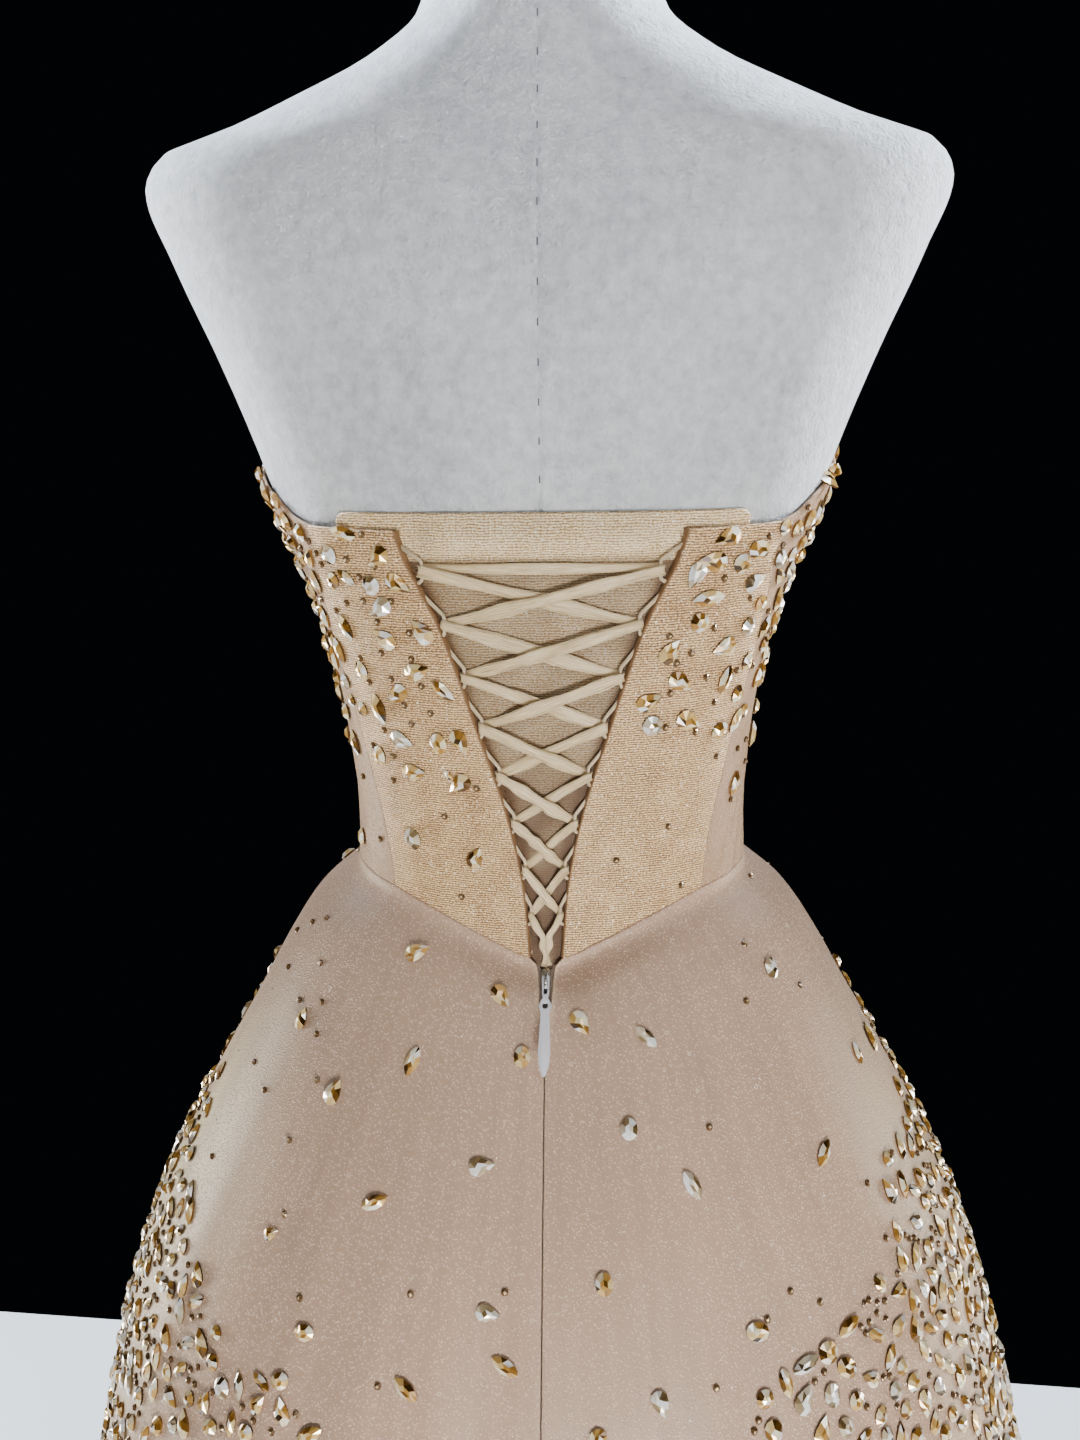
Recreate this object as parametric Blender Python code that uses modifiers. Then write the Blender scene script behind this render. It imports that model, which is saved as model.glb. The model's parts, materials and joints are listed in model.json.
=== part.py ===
"""Strapless A-line evening dress with a laced back, worn by a limbless dress form on a stand.

Metres, +Z up, the floor at z = 0 under the stand.  The wearer's front faces -Y and the
laced back faces +Y.  Heights in the tables are measured from the side waist.
"""
import math

import bmesh
import bpy
import numpy as np
from mathutils import Matrix, Vector

# ---------------------------------------------------------------- driving sizes
WAIST_Z = 1.060
HEM_CLEAR = 0.020
NECK_TOP = 0.500
FORM_BOTTOM = -0.290

WALL = 0.0020
FORM_GAP = 0.0008
FRONT_GAP = 0.0012
PANEL_LIFT = 0.0028
SEAM_GAP = 0.0004

# Body of the form.  Columns: height, half width, front depth, back depth,
# squareness of the front half, squareness of the back half.
BODY = (
    (-0.300, 0.1620, 0.1000, 0.1060, 2.1, 2.2),
    (-0.200, 0.1660, 0.1040, 0.1150, 2.1, 2.2),
    (-0.110, 0.1480, 0.0980, 0.1030, 2.1, 2.2),
    (-0.045, 0.1210, 0.0890, 0.0840, 2.2, 2.3),
    (0.000, 0.1065, 0.0850, 0.0775, 2.2, 2.4),
    (0.035, 0.1035, 0.0880, 0.0790, 2.2, 2.5),
    (0.070, 0.1055, 0.0920, 0.0820, 2.2, 2.6),
    (0.100, 0.1090, 0.0950, 0.0860, 2.3, 2.6),
    (0.130, 0.1150, 0.0960, 0.0885, 2.3, 2.7),
    (0.160, 0.1240, 0.0960, 0.0900, 2.3, 2.7),
    (0.195, 0.1390, 0.0960, 0.0918, 2.3, 2.7),
    (0.225, 0.1485, 0.0945, 0.0930, 2.3, 2.7),
    (0.270, 0.1660, 0.0900, 0.0930, 2.3, 2.6),
    (0.320, 0.1880, 0.0780, 0.0870, 2.3, 2.5),
    (0.352, 0.1995, 0.0670, 0.0790, 2.3, 2.4),
    (0.366, 0.1925, 0.0610, 0.0740, 2.3, 2.4),
    (0.376, 0.1635, 0.0575, 0.0700, 2.2, 2.3),
    (0.390, 0.1290, 0.0545, 0.0650, 2.1, 2.2),
    (0.408, 0.0880, 0.0520, 0.0600, 2.0, 2.1),
    (0.428, 0.0615, 0.0500, 0.0560, 2.0, 2.0),
    (0.455, 0.0530, 0.0480, 0.0520, 2.0, 2.0),
    (0.500, 0.0510, 0.0470, 0.0500, 2.0, 2.0),
)
BUST_X, BUST_Z, BUST_RISE = 0.076, 0.140, 0.034
BUST_SPREAD_X, BUST_SPREAD_Z = 0.050, 0.062
FORM_ROWS = (
    -0.230, -0.160, -0.095, -0.055, -0.032, -0.014, 0.000, 0.014, 0.032, 0.055, 0.085, 0.115,
    0.145, 0.175, 0.205, 0.230, 0.260, 0.310, 0.345, 0.363, 0.371, 0.383, 0.400, 0.422, 0.455,
)
FORM_COLUMNS = 36
# Under the dress the form's flat facets are set in by this much, to stay clear of the cloth.
FORM_SINK = -0.0003
FORM_SINK_LOW, FORM_SINK_HIGH = -0.050, 0.250
# Rounded edges of the form's underside and of its neck: height, shares of width and depth.
UNDER_EDGE = (0.012, 0.93, 0.91)
NECK_EDGE = (0.006, 0.90, 0.89)

# Bodice lines against the place round the body (0 centre back, 0.5 centre front).
TOP_LINE = ((0.00, 0.1915), (0.14, 0.1935), (0.16, 0.1970), (0.18, 0.2060), (0.22, 0.2180),
            (0.32, 0.2360), (0.38, 0.2440), (0.44, 0.2320), (0.50, 0.2080))
WAIST_LINE = ((0.000, -0.0290), (0.015, -0.0272), (0.040, -0.0205), (0.100, -0.0045),
              (0.140, 0.0028), (0.200, 0.0055), (0.330, 0.0050), (0.500, 0.0040))
# Laced opening.  Columns: height, half width.
V_EDGE = ((-0.028, 0.0090), (0.012, 0.0123), (0.043, 0.0178), (0.067, 0.0239), (0.094, 0.0320),
          (0.121, 0.0400), (0.146, 0.0484), (0.166, 0.0577), (0.178, 0.0635), (0.190, 0.0675))
SIDE_BACK_SEAM = ((-0.030, 0.128), (0.100, 0.150), (0.200, 0.147))
SIDE_FRONT_SEAM = 0.330
BODY_HALF_ROUND = 0.360
# The back panels stand off the form over the modesty panel, and come in beside it.
PANEL_BLEND_X, PANEL_BLEND_WIDE = 0.102, 0.020
BODY_SEAM_SHARE = 0.5 * SEAM_GAP / BODY_HALF_ROUND
BODICE_ROWS = 14
BACK_COLUMNS, SIDE_COLUMNS, FRONT_COLUMNS = 8, 8, 16

# Modesty panel behind the laces.
MODESTY_HALF, MODESTY_TOP, MODESTY_OVER_WAIST = 0.098, 0.2005, 0.0015
MODESTY_THICK, MODESTY_PUFF, MODESTY_CORNER, MODESTY_NARROW = 0.0014, 0.0016, 0.005, 0.52
MODESTY_BAND_Z, MODESTY_BAND_TALL, MODESTY_BAND_HALF = 0.1875, 0.0070, 0.060
MODESTY_ROWS, MODESTY_COLUMNS = 14, 12

# Loops of thin rouleau cord along both edges of the opening, and the satin lace.
LOOPS = 8
LOOP_TOP, LOOP_PITCH = 0.174, 0.0255
LOOP_FIRST_REACH, LOOP_REACH, LOOP_TALL = 0.0062, 0.0034, 0.0088
LOOP_FOOT, LOOP_FOOT_LONG, LOOP_LEAD = 0.0030, 0.0018, 0.0085
CORD_RADIUS, CORD_CLEAR = 0.0008, 0.0004
CORD_EDGE_OUT, CORD_TIP_OUT = 0.0037, 0.0052
LACE_WIDE, LACE_THICK = 0.0060, 0.0008
LACE_BACK, LACE_FRONT = 0.00375, 0.00665
LACE_CROSS_SHIFT, LACE_TURN_DROP = 0.0003, 0.0006
LACE_GATHER = 0.50
LACE_TUCK_X, LACE_TUCK_DOWN, LACE_TUCK_OUT = 0.0024, 0.0035, 0.0036
# Which half of the lace passes in front where the two halves cross, from the top down.
CROSS_FRONT = ("A", "B", "A", "A", "B", "A", "B")
STRAND_STEPS = (0.14, 0.30, 0.42, 0.58, 0.70, 0.86)
TOP_RUN_STEPS = (0.10, 0.25, 0.42, 0.58, 0.75, 0.90)
TAIL_STEPS = (0.30, 0.65, 1.00)

# Skirt.  Columns: depth below the waist seam, half width, front depth, back depth.
SKIRT = (
    (0.000, 0.1100, 0.0885, 0.0820),
    (0.012, 0.1190, 0.0955, 0.0963),
    (0.030, 0.1390, 0.1092, 0.1107),
    (0.055, 0.1560, 0.1240, 0.1265),
    (0.090, 0.1757, 0.1430, 0.1473),
    (0.140, 0.2045, 0.1716, 0.1756),
    (0.200, 0.2370, 0.2045, 0.2052),
    (0.280, 0.2656, 0.2360, 0.2344),
    (0.360, 0.2863, 0.2600, 0.2570),
    (0.480, 0.3140, 0.2925, 0.2896),
    (0.640, 0.3513, 0.3325, 0.3306),
    (0.820, 0.3942, 0.3788, 0.3773),
    (1.040, 0.4480, 0.4330, 0.4330),
)
SKIRT_SQUARE = 2.1
SKIRT_WALL = 0.0022
SKIRT_ROWS = (0.000, 0.006, 0.017, 0.031, 0.048, 0.072, 0.103, 0.142, 0.190, 0.250, 0.328,
              0.430, 0.560, 0.710, 0.870, 1.040)
SKIRT_SEAM = 0.225
SKIRT_HALF_ROUND = 0.400
SKIRT_TOP_BLEND = 0.016
SKIRT_BACK_COLUMNS, SKIRT_FRONT_COLUMNS = 20, 36
FOLDS, FOLD_START, FOLD_DEPTH = 17, 0.24, 0.0125
# Half width of the slit above the zip against the depth.
SLIT = ((0.0, 0.0085), (0.004, 0.0045), (0.0120, 0.0036), (0.020, 0.0024), (0.030, 0.0008),
        (0.041, 0.0003), (1.050, 0.0003))

# Zip: tapes behind the slit, slider on the closed end, pull on the slider's bail.
TAPE_WIDE, TAPE_THICK, TAPE_GAP = 0.0110, 0.0010, 0.0008
TAPE_TOP, TAPE_LONG, TAPE_SHOWS = 0.0012, 0.205, 0.0011
SLIDER_DOWN, SLIDER_WIDE, SLIDER_LONG, SLIDER_THICK = 0.0095, 0.0050, 0.0114, 0.0024
SLIDER_CORNER, SLIDER_SHOULDER = 0.0020, 0.0012
BAIL_WIDE, BAIL_THICK, BAIL_CLEAR, BAIL_REACH = 0.0012, 0.0010, 0.0026, 0.0042
BAIL_SINK, BAIL_BEND = 0.0005, 0.0006
PULL_THICK, PULL_CLEAR = 0.0012, 0.0004
# Half outline of the pull.  Columns: distance below its hinge, half width.
PULL = ((-0.00075, 0.0016), (0.0000, 0.0020), (0.0085, 0.0018), (0.0115, 0.0013), (0.0130, 0.0024),
        (0.0155, 0.0033), (0.0180, 0.0026), (0.0195, 0.0022), (0.0300, 0.0026), (0.0400, 0.0031),
        (0.0460, 0.0025), (0.0505, 0.0011), (0.0512, 0.0005))
PULL_SLOT_LOW, PULL_SLOT_HIGH, PULL_SLOT_HALF = 0.0006, 0.0094, 0.0010
PULL_EYE_AT, PULL_EYE_RADIUS = 0.0155, 0.0016

# Stand.
POLE_RADIUS, BASE_RADIUS, BASE_THICK = 0.0150, 0.185, 0.016
BASE_DOME, BASE_DOME_RADIUS, BASE_ROUND, BASE_FOOT_ROUND = 0.003, 0.030, 0.004, 0.002
SOCKET_RADIUS, SOCKET_TALL, SOCKET_CONE = 0.021, 0.014, 0.004
COLLAR_RADIUS, COLLAR_TALL, COLLAR_CONE = 0.032, 0.022, 0.010
STAND_GAP = 0.0003

# Raised stones.  Columns: name, length, width, rise.
STONES = (
    ("pear", 0.0120, 0.0084, 0.0031),
    ("navette", 0.0130, 0.0060, 0.0029),
    ("oval", 0.0098, 0.0078, 0.0033),
    ("round", 0.0088, 0.0088, 0.0033),
)
# A stone and its shift fill at most these shares of its cell.
STONE_FIT, STONE_ROOM = 0.74, 0.76
STONE_LEAST_RISE = 0.7
# Chance of a stone in a bodice cell.  Columns: share of the height, left back, right back.
BODICE_CROWD = ((0.00, 0.02, 0.02), (0.30, 0.10, 0.10), (0.40, 0.30, 0.10), (0.54, 0.90, 0.50),
                (0.66, 0.90, 0.90), (1.00, 0.90, 0.90))
BACK_SHARE, SIDE_SHARE = 0.62, 0.70
# The same for the front panel.  Columns: share of the height, at its middle, at its sides.
FRONT_CROWD = ((0.00, 0.00, 0.00), (0.45, 0.00, 0.00), (0.70, 0.13, 0.36), (1.00, 0.13, 0.36))
# Stones on the skirt.  Columns: depth, place round where the crowd starts, chance in the
# crowd, chance between the crowd and the back seam.
SKIRT_CROWD = ((0.000, 0.150, 0.00, 0.08), (0.100, 0.150, 0.00, 0.10), (0.225, 0.150, 0.28, 0.10),
               (0.350, 0.138, 0.45, 0.09), (0.450, 0.105, 0.45, 0.09), (0.600, 0.073, 0.44, 0.09),
               (0.790, 0.058, 0.31, 0.06), (1.040, 0.045, 0.10, 0.02))
SKIRT_CROWD_EDGE, SKIRT_PLAIN_EDGE = 0.035, 0.014
SKIRT_FRONT_SHARE, SKIRT_FRONT_MIDDLE = 0.20, 0.330


# ---------------------------------------------------------------- scene helpers
def make_material(name, colour, roughness, metallic):
    material = bpy.data.materials.new(name)
    material.use_nodes = True
    shader = material.node_tree.nodes["Principled BSDF"]
    shader.inputs["Base Color"].default_value = (colour[0], colour[1], colour[2], 1.0)
    shader.inputs["Roughness"].default_value = roughness
    shader.inputs["Metallic"].default_value = metallic
    return material


def add_mesh(name, vertices, faces, material, smooth=True):
    mesh = bpy.data.meshes.new(name)
    mesh.from_pydata([tuple(float(c) for c in v) for v in vertices], [], faces)
    shape = bmesh.new()
    shape.from_mesh(mesh)
    bmesh.ops.recalc_face_normals(shape, faces=shape.faces)
    shape.to_mesh(mesh)
    shape.free()
    mesh.update()
    for polygon in mesh.polygons:
        polygon.use_smooth = smooth
    mesh.materials.append(material)
    obj = bpy.data.objects.new(name, mesh)
    COLLECTION.objects.link(obj)
    return obj


# ---------------------------------------------------------------- smooth tables
def smooth_table(table, place):
    """Values of every column after the first, eased between the rows without overshoot."""
    rows = np.array(table, dtype=float)
    keys = rows[:, 0]
    values = rows[:, 1:]
    place = min(max(place, keys[0]), keys[-1])
    steps = np.diff(keys)
    slopes = np.diff(values, axis=0) / steps[:, None]
    tangents = np.zeros_like(values)
    tangents[0] = slopes[0]
    tangents[-1] = slopes[-1]
    before = slopes[:-1]
    after = slopes[1:]
    same = before * after > 0
    total = np.where(same, before + after, 1.0)
    tangents[1:-1] = np.where(same, 2.0 * before * after / total, 0.0)
    index = int(min(np.searchsorted(keys, place, side="right") - 1, len(steps) - 1))
    h = steps[index]
    t = (place - keys[index]) / h
    h00 = 2 * t**3 - 3 * t**2 + 1
    h10 = t**3 - 2 * t**2 + t
    h01 = -2 * t**3 + 3 * t**2
    h11 = t**3 - t**2
    return (h00 * values[index] + h10 * h * tangents[index]
            + h01 * values[index + 1] + h11 * h * tangents[index + 1])


def ease(t):
    t = min(max(t, 0.0), 1.0)
    return t * t * (3.0 - 2.0 * t)


def half_outline(half_width, front, back, square_front, square_back, steps=240):
    """One half ring, from centre back round the +X side to centre front."""
    angle = np.linspace(0.0, math.pi, steps)
    across = np.abs(np.sin(angle))
    along = np.cos(angle)
    depth = np.where(along >= 0, back, front)
    power = np.where(along >= 0, square_back, square_front)
    size = (across / half_width) ** power + (np.abs(along) / depth) ** power
    radius = size ** (-1.0 / power)
    return radius * across, radius * along


def ring_frame(x, y):
    """Share of the way round, positions and outward normals of a half ring."""
    run = np.concatenate(([0.0], np.cumsum(np.hypot(np.diff(x), np.diff(y)))))
    tx = np.gradient(x)
    ty = np.gradient(y)
    length = np.hypot(tx, ty)
    nx = -ty / length
    ny = tx / length
    nx[0] = 0.0
    ny[0] = 1.0
    nx[-1] = 0.0
    ny[-1] = -1.0
    return 0.5 * run / run[-1], x, y, nx, ny


RINGS = {}


def body_ring(z):
    """Half ring of the form at a height, with its bust."""
    key = round(z, 6)
    if key not in RINGS:
        x, y = half_outline(*smooth_table(BODY, z))
        lift = math.exp(-((z - BUST_Z) / BUST_SPREAD_Z) ** 2)
        bump = BUST_RISE * lift * np.exp(-((x - BUST_X) / BUST_SPREAD_X) ** 2)
        y = np.where(y < 0, y - bump * np.clip(-y / 0.05, 0.0, 1.0), y)
        RINGS[key] = ring_frame(x, y)
    return RINGS[key]


def on_ring(ring, u, out):
    """Position at a signed place round a ring, moved out along its normal."""
    share = abs(u)
    x = np.interp(share, ring[0], ring[1]) + out * np.interp(share, ring[0], ring[3])
    y = np.interp(share, ring[0], ring[2]) + out * np.interp(share, ring[0], ring[4])
    return (x if u >= 0 else -x), y


def body_point(u, z, out):
    """World point off the form; u is 0 at centre back, +0.5 or -0.5 at centre front."""
    x, y = on_ring(body_ring(z), u, out)
    return Vector((x, y, z + WAIST_Z))


def back_surface(x, z, out):
    """Point over the back at an x and height, lifted off the body along its normal."""
    ring = body_ring(z)
    half = int(np.argmax(ring[1]))
    u = float(np.interp(abs(x), ring[1][:half], ring[0][:half]))
    normal_y = float(np.interp(u, ring[0], ring[4]))
    y = float(np.interp(u, ring[0], ring[2])) + out / max(normal_y, 0.5)
    return Vector((x, y, z + WAIST_Z))


def share_at_x(x, z):
    """Place round the body at a given x on the back half."""
    ring = body_ring(z)
    half = int(np.argmax(ring[1]))
    return float(np.interp(x, ring[1][:half], ring[0][:half]))


def waist_line(u):
    return float(smooth_table(WAIST_LINE, abs(u))[0])


def top_line(u):
    return float(smooth_table(TOP_LINE, abs(u))[0])


def v_edge_x(z):
    """Half width of the laced opening at a height."""
    return float(smooth_table(V_EDGE, z)[0])


def bodice_out(u, z):
    """How far the bodice's inner face stands off the body."""
    x = abs(body_point(u, z, 0.0).x)
    near = 1.0 - ease((x - PANEL_BLEND_X) / PANEL_BLEND_WIDE)
    back = 1.0 if abs(u) < 0.3 else 0.0
    return FORM_GAP + (PANEL_LIFT - FORM_GAP) * near * back


# ---------------------------------------------------------------- cloth walls
def stone_outline(kind, count):
    """Outline of a stone one unit long and one unit wide, pointing along +x."""
    points = []
    for k in range(count):
        angle = 2.0 * math.pi * k / count
        x = 0.5 * math.cos(angle)
        y = 0.5 * math.sin(angle)
        if kind == "pear":
            y *= 1.0 - 0.75 * max(0.0, x)
        if kind == "navette":
            y *= 0.55 + 0.9 * (0.5 - abs(x))
        points.append((x, y))
    return points


def raise_stone(vertices, faces, cell, stone, sides):
    """Replace one outer cell by a raised stone, joined to the cell's four corners."""
    kind, long, wide, rise = STONES[stone["kind"]]
    corner = [Vector(vertices[i]) for i in cell]
    across = ((corner[1] + corner[2]) - (corner[0] + corner[3])) / 2.0
    along = ((corner[2] + corner[3]) - (corner[0] + corner[1])) / 2.0
    normal = across.cross(along).normalized()
    size_x = across.length
    size_y = along.length
    turn = stone["turn"]
    reach_x = abs(math.cos(turn)) * long + abs(math.sin(turn)) * wide
    reach_y = abs(math.sin(turn)) * long + abs(math.cos(turn)) * wide
    fit = min(1.0, STONE_FIT * size_x / reach_x, STONE_FIT * size_y / reach_y)
    slack_x = 0.5 * (STONE_ROOM * size_x - reach_x * fit)
    slack_y = 0.5 * (STONE_ROOM * size_y - reach_y * fit)
    shift_x = stone["dx"] * max(slack_x, 0.0)
    shift_y = stone["dy"] * max(slack_y, 0.0)
    base = len(vertices)
    foot = []
    for px, py in stone_outline(kind, sides):
        qx = (px * math.cos(turn) * long - py * math.sin(turn) * wide) * fit
        qy = (px * math.sin(turn) * long + py * math.cos(turn) * wide) * fit
        # Bilinear place in the cell keeps the stone's foot on the cloth.
        s = 0.5 + (qx + shift_x) / size_x
        t = 0.5 + (qy + shift_y) / size_y
        foot.append((s, t))
        low = corner[0].lerp(corner[1], s)
        high = corner[3].lerp(corner[2], s)
        vertices.append(low.lerp(high, t))
    foot_centre = Vector((0.0, 0.0, 0.0))
    for k in range(sides):
        foot_centre += Vector(vertices[base + k]) / sides
    top = len(vertices)
    vertices.append(foot_centre + normal * rise * max(fit, STONE_LEAST_RISE))
    for k in range(sides):
        faces.append((base + k, base + (k + 1) % sides, top))
    # Band: each edge of the foot joins the corner it faces, each cell edge its nearest point.
    facing = []
    for k in range(sides):
        following = foot[(k + 1) % sides]
        right = following[1] - foot[k][1]
        up = foot[k][0] - following[0]
        facing.append({(False, False): 0, (True, False): 1, (True, True): 2,
                       (False, True): 3}[(right > 0, up > 0)])
    for k in range(sides):
        before = facing[k - 1]
        while before != facing[k]:
            faces.append((cell[before], cell[(before + 1) % 4], base + k))
            before = (before + 1) % 4
        faces.append((cell[facing[k]], base + (k + 1) % sides, base + k))


def wall(name, outer, inner, material, stones=None, sides=6):
    """Closed cloth wall between two grids of points, rows upward and columns round.

    Columns run so that across x along points outward; stones maps cells to raised stones.
    """
    rows = len(outer)
    columns = len(outer[0])
    vertices = [p for row in outer for p in row] + [p for row in inner for p in row]
    shift = rows * columns

    def at(r, c, side):
        return side * shift + r * columns + c

    faces = []
    for r in range(rows - 1):
        for c in range(columns - 1):
            cell = (at(r, c, 0), at(r, c + 1, 0), at(r + 1, c + 1, 0), at(r + 1, c, 0))
            if stones and (r, c) in stones:
                raise_stone(vertices, faces, cell, stones[(r, c)], sides)
            else:
                faces.append(cell)
            faces.append((at(r, c, 1), at(r + 1, c, 1), at(r + 1, c + 1, 1), at(r, c + 1, 1)))
    for c in range(columns - 1):
        faces.append((at(0, c, 0), at(0, c, 1), at(0, c + 1, 1), at(0, c + 1, 0)))
        last = rows - 1
        faces.append((at(last, c, 0), at(last, c + 1, 0), at(last, c + 1, 1), at(last, c, 1)))
    for r in range(rows - 1):
        faces.append((at(r, 0, 0), at(r + 1, 0, 0), at(r + 1, 0, 1), at(r, 0, 1)))
        last = columns - 1
        faces.append((at(r, last, 0), at(r, last, 1), at(r + 1, last, 1), at(r + 1, last, 0)))
    return add_mesh(name, vertices, faces, material)


def grid(rows, columns, point):
    """Grid of points; point(row share, column share) gives one position."""
    return [[point(r / rows, c / columns) for c in range(columns + 1)] for r in range(rows + 1)]


def steady(seed):
    """Repeatable share between 0 and 1 from a whole number."""
    value = (seed * 2654435761) % 4294967296
    value ^= value >> 15
    value = (value * 2246822519) % 4294967296
    value ^= value >> 13
    return (value % 100003) / 100003.0


def scatter_stones(rows, columns, seed, density):
    """Pick cells for stones; density(row share, column share) is the chance of one."""
    picked = {}
    for r in range(rows):
        for c in range(columns):
            code = seed * 7919 + r * 131 + c * 17 + 11
            if steady(code) < density((r + 0.5) / rows, (c + 0.5) / columns):
                picked[(r, c)] = {
                    "kind": int(steady(code + 1) * 3.999),
                    "turn": math.pi * 2.0 * steady(code + 2),
                    "dx": steady(code + 3) * 2.0 - 1.0,
                    "dy": steady(code + 4) * 2.0 - 1.0,
                }
    return picked


# ---------------------------------------------------------------- dress form and stand
def form_ring(z, out=0.0, wide=1.0, deep=1.0):
    """One ring of the form's points, narrowed towards the axis for a rounded edge."""
    ring = [body_point(c / FORM_COLUMNS - 0.5, z, out) for c in range(FORM_COLUMNS)]
    return [Vector((p.x * wide, p.y * deep, p.z)) for p in ring]


def build_form(material):
    """Closed loft through the form's rings, from its flat underside to its flat neck."""
    low = FORM_BOTTOM + UNDER_EDGE[0]
    high = NECK_TOP - NECK_EDGE[0]
    rings = [[Vector((p.x, p.y, FORM_BOTTOM + WAIST_Z)) for p in form_ring(low, 0.0, *UNDER_EDGE[1:])]]
    rings.append(form_ring(low))
    for z in FORM_ROWS:
        rings.append(form_ring(z, FORM_SINK if FORM_SINK_LOW < z < FORM_SINK_HIGH else 0.0))
    rings.append(form_ring(high))
    rings.append([Vector((p.x, p.y, NECK_TOP + WAIST_Z)) for p in form_ring(high, 0.0, *NECK_EDGE[1:])])
    vertices = [p for ring in rings for p in ring]
    n = FORM_COLUMNS
    faces = []
    for r in range(len(rings) - 1):
        for c in range(n):
            d = (c + 1) % n
            faces.append((r * n + c, (r + 1) * n + c, (r + 1) * n + d, r * n + d))
    faces.append(tuple(range(n)))
    last = (len(rings) - 1) * n
    faces.append(tuple(reversed(range(last, last + n))))
    return add_mesh("form_torso", vertices, faces, material)


def lathe(name, profile, segments, material):
    """Turned piece: a half profile from axis to axis, spun with the Screw modifier."""
    mesh = bpy.data.meshes.new(name)
    edges = [(i, i + 1) for i in range(len(profile) - 1)]
    mesh.from_pydata([(r, 0.0, z) for r, z in profile], edges, [])
    mesh.materials.append(material)
    obj = bpy.data.objects.new(name, mesh)
    COLLECTION.objects.link(obj)
    screw = obj.modifiers.new("spin", "SCREW")
    screw.steps = segments
    screw.render_steps = segments
    screw.use_merge_vertices = True
    screw.merge_threshold = 0.00005
    screw.use_normal_calculate = False
    screw.use_normal_flip = True
    screw.use_smooth_shade = True
    return obj


def build_stand(metal):
    """Round base and the pole that carries the form on a collar."""
    crown = BASE_THICK + BASE_DOME
    lathe("stand_base", (
        (0.0, 0.0), (BASE_RADIUS - BASE_FOOT_ROUND, 0.0), (BASE_RADIUS, BASE_FOOT_ROUND),
        (BASE_RADIUS, BASE_THICK - BASE_ROUND), (BASE_RADIUS - BASE_ROUND, BASE_THICK),
        (BASE_DOME_RADIUS, crown), (0.0, crown),
    ), 32, metal)
    low = crown + STAND_GAP
    high = FORM_BOTTOM + WAIST_Z - STAND_GAP
    socket = low + SOCKET_TALL
    collar = high - COLLAR_TALL
    lathe("stand_pole", (
        (0.0, low), (SOCKET_RADIUS, low), (SOCKET_RADIUS, socket),
        (POLE_RADIUS, socket + SOCKET_CONE), (POLE_RADIUS, collar),
        (COLLAR_RADIUS, collar + COLLAR_CONE), (COLLAR_RADIUS, high), (0.0, high),
    ), 16, metal)


# ---------------------------------------------------------------- bodice
def side_back_seam(z):
    """Place round the body of the seam between a back panel and a side panel."""
    return float(smooth_table(SIDE_BACK_SEAM, z)[0])


def v_share(z):
    """Place round the body of the laced opening's edge."""
    return share_at_x(v_edge_x(z), z)


def panel_point(side, low_u, high_u, row, column, out):
    """Point on a bodice panel between two place functions of the height."""
    z = 0.5 * (waist_line(0.1) + top_line(0.1))
    for _ in range(6):
        u = low_u(z) + (high_u(z) - low_u(z)) * column
        bottom = waist_line(u)
        top = top_line(u)
        z = bottom + (top - bottom) * row
    u = low_u(z) + (high_u(z) - low_u(z)) * column
    return body_point(side * u, z, bodice_out(u, z) + out)


def bodice_panel(name, side, low_u, high_u, columns, material, stones):
    """Panel between two seams; its columns run towards the right hand seen from outside."""
    def face(out):
        def point(row, column):
            share = column if side < 0 else 1.0 - column
            return panel_point(side, low_u, high_u, row, share, out)
        return grid(BODICE_ROWS, columns, point)

    return wall(name, face(WALL), face(0.0), material, stones)


def front_panel_point(row, column, out):
    """Point on the front panel, which crosses the centre front."""
    first = SIDE_FRONT_SEAM + BODY_SEAM_SHARE
    u = first + (1.0 - 2.0 * first) * column
    u = u if u <= 0.5 else u - 1.0
    bottom = waist_line(u)
    top = top_line(u)
    return body_point(-u, bottom + (top - bottom) * row, FRONT_GAP + out)


def build_bodice(mesh_cloth, tulle_cloth):
    """Two back panels of glitter mesh, two side panels and one front panel of tulle."""
    gap = BODY_SEAM_SHARE
    for side, word in ((1, "left"), (-1, "right")):
        def chance(row, share, part):
            left, right = smooth_table(BODICE_CROWD, row)
            return part * (left if side > 0 else right)

        back_cells = scatter_stones(BODICE_ROWS, BACK_COLUMNS, 3 + side,
                                    lambda row, share: chance(row, share, BACK_SHARE))
        side_cells = scatter_stones(BODICE_ROWS, SIDE_COLUMNS, 23 + side,
                                    lambda row, share: chance(row, share, SIDE_SHARE))
        bodice_panel("bodice_back_" + word, side, v_share, lambda z: side_back_seam(z) - gap,
                     BACK_COLUMNS, mesh_cloth, back_cells)
        bodice_panel("bodice_side_" + word, side, lambda z: side_back_seam(z) + gap,
                     lambda z: SIDE_FRONT_SEAM - gap, SIDE_COLUMNS, tulle_cloth, side_cells)

    def front_chance(row, share):
        middle, sides = smooth_table(FRONT_CROWD, row)
        return middle + (sides - middle) * abs(2.0 * share - 1.0)

    def front_face(out):
        return grid(BODICE_ROWS, FRONT_COLUMNS, lambda row, share: front_panel_point(row, share, out))

    cells = scatter_stones(BODICE_ROWS, FRONT_COLUMNS, 41, front_chance)
    wall("bodice_front", front_face(WALL), front_face(0.0), tulle_cloth, cells)


def modesty_surface(x, z, out):
    """Point over the modesty panel's inner face, with its padded upper band."""
    band = math.exp(-((z - MODESTY_BAND_Z) / MODESTY_BAND_TALL) ** 2)
    puff = MODESTY_PUFF * band * ease((MODESTY_BAND_HALF - abs(x)) / 0.012)
    return back_surface(x, z, FORM_GAP + out + puff)


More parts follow.
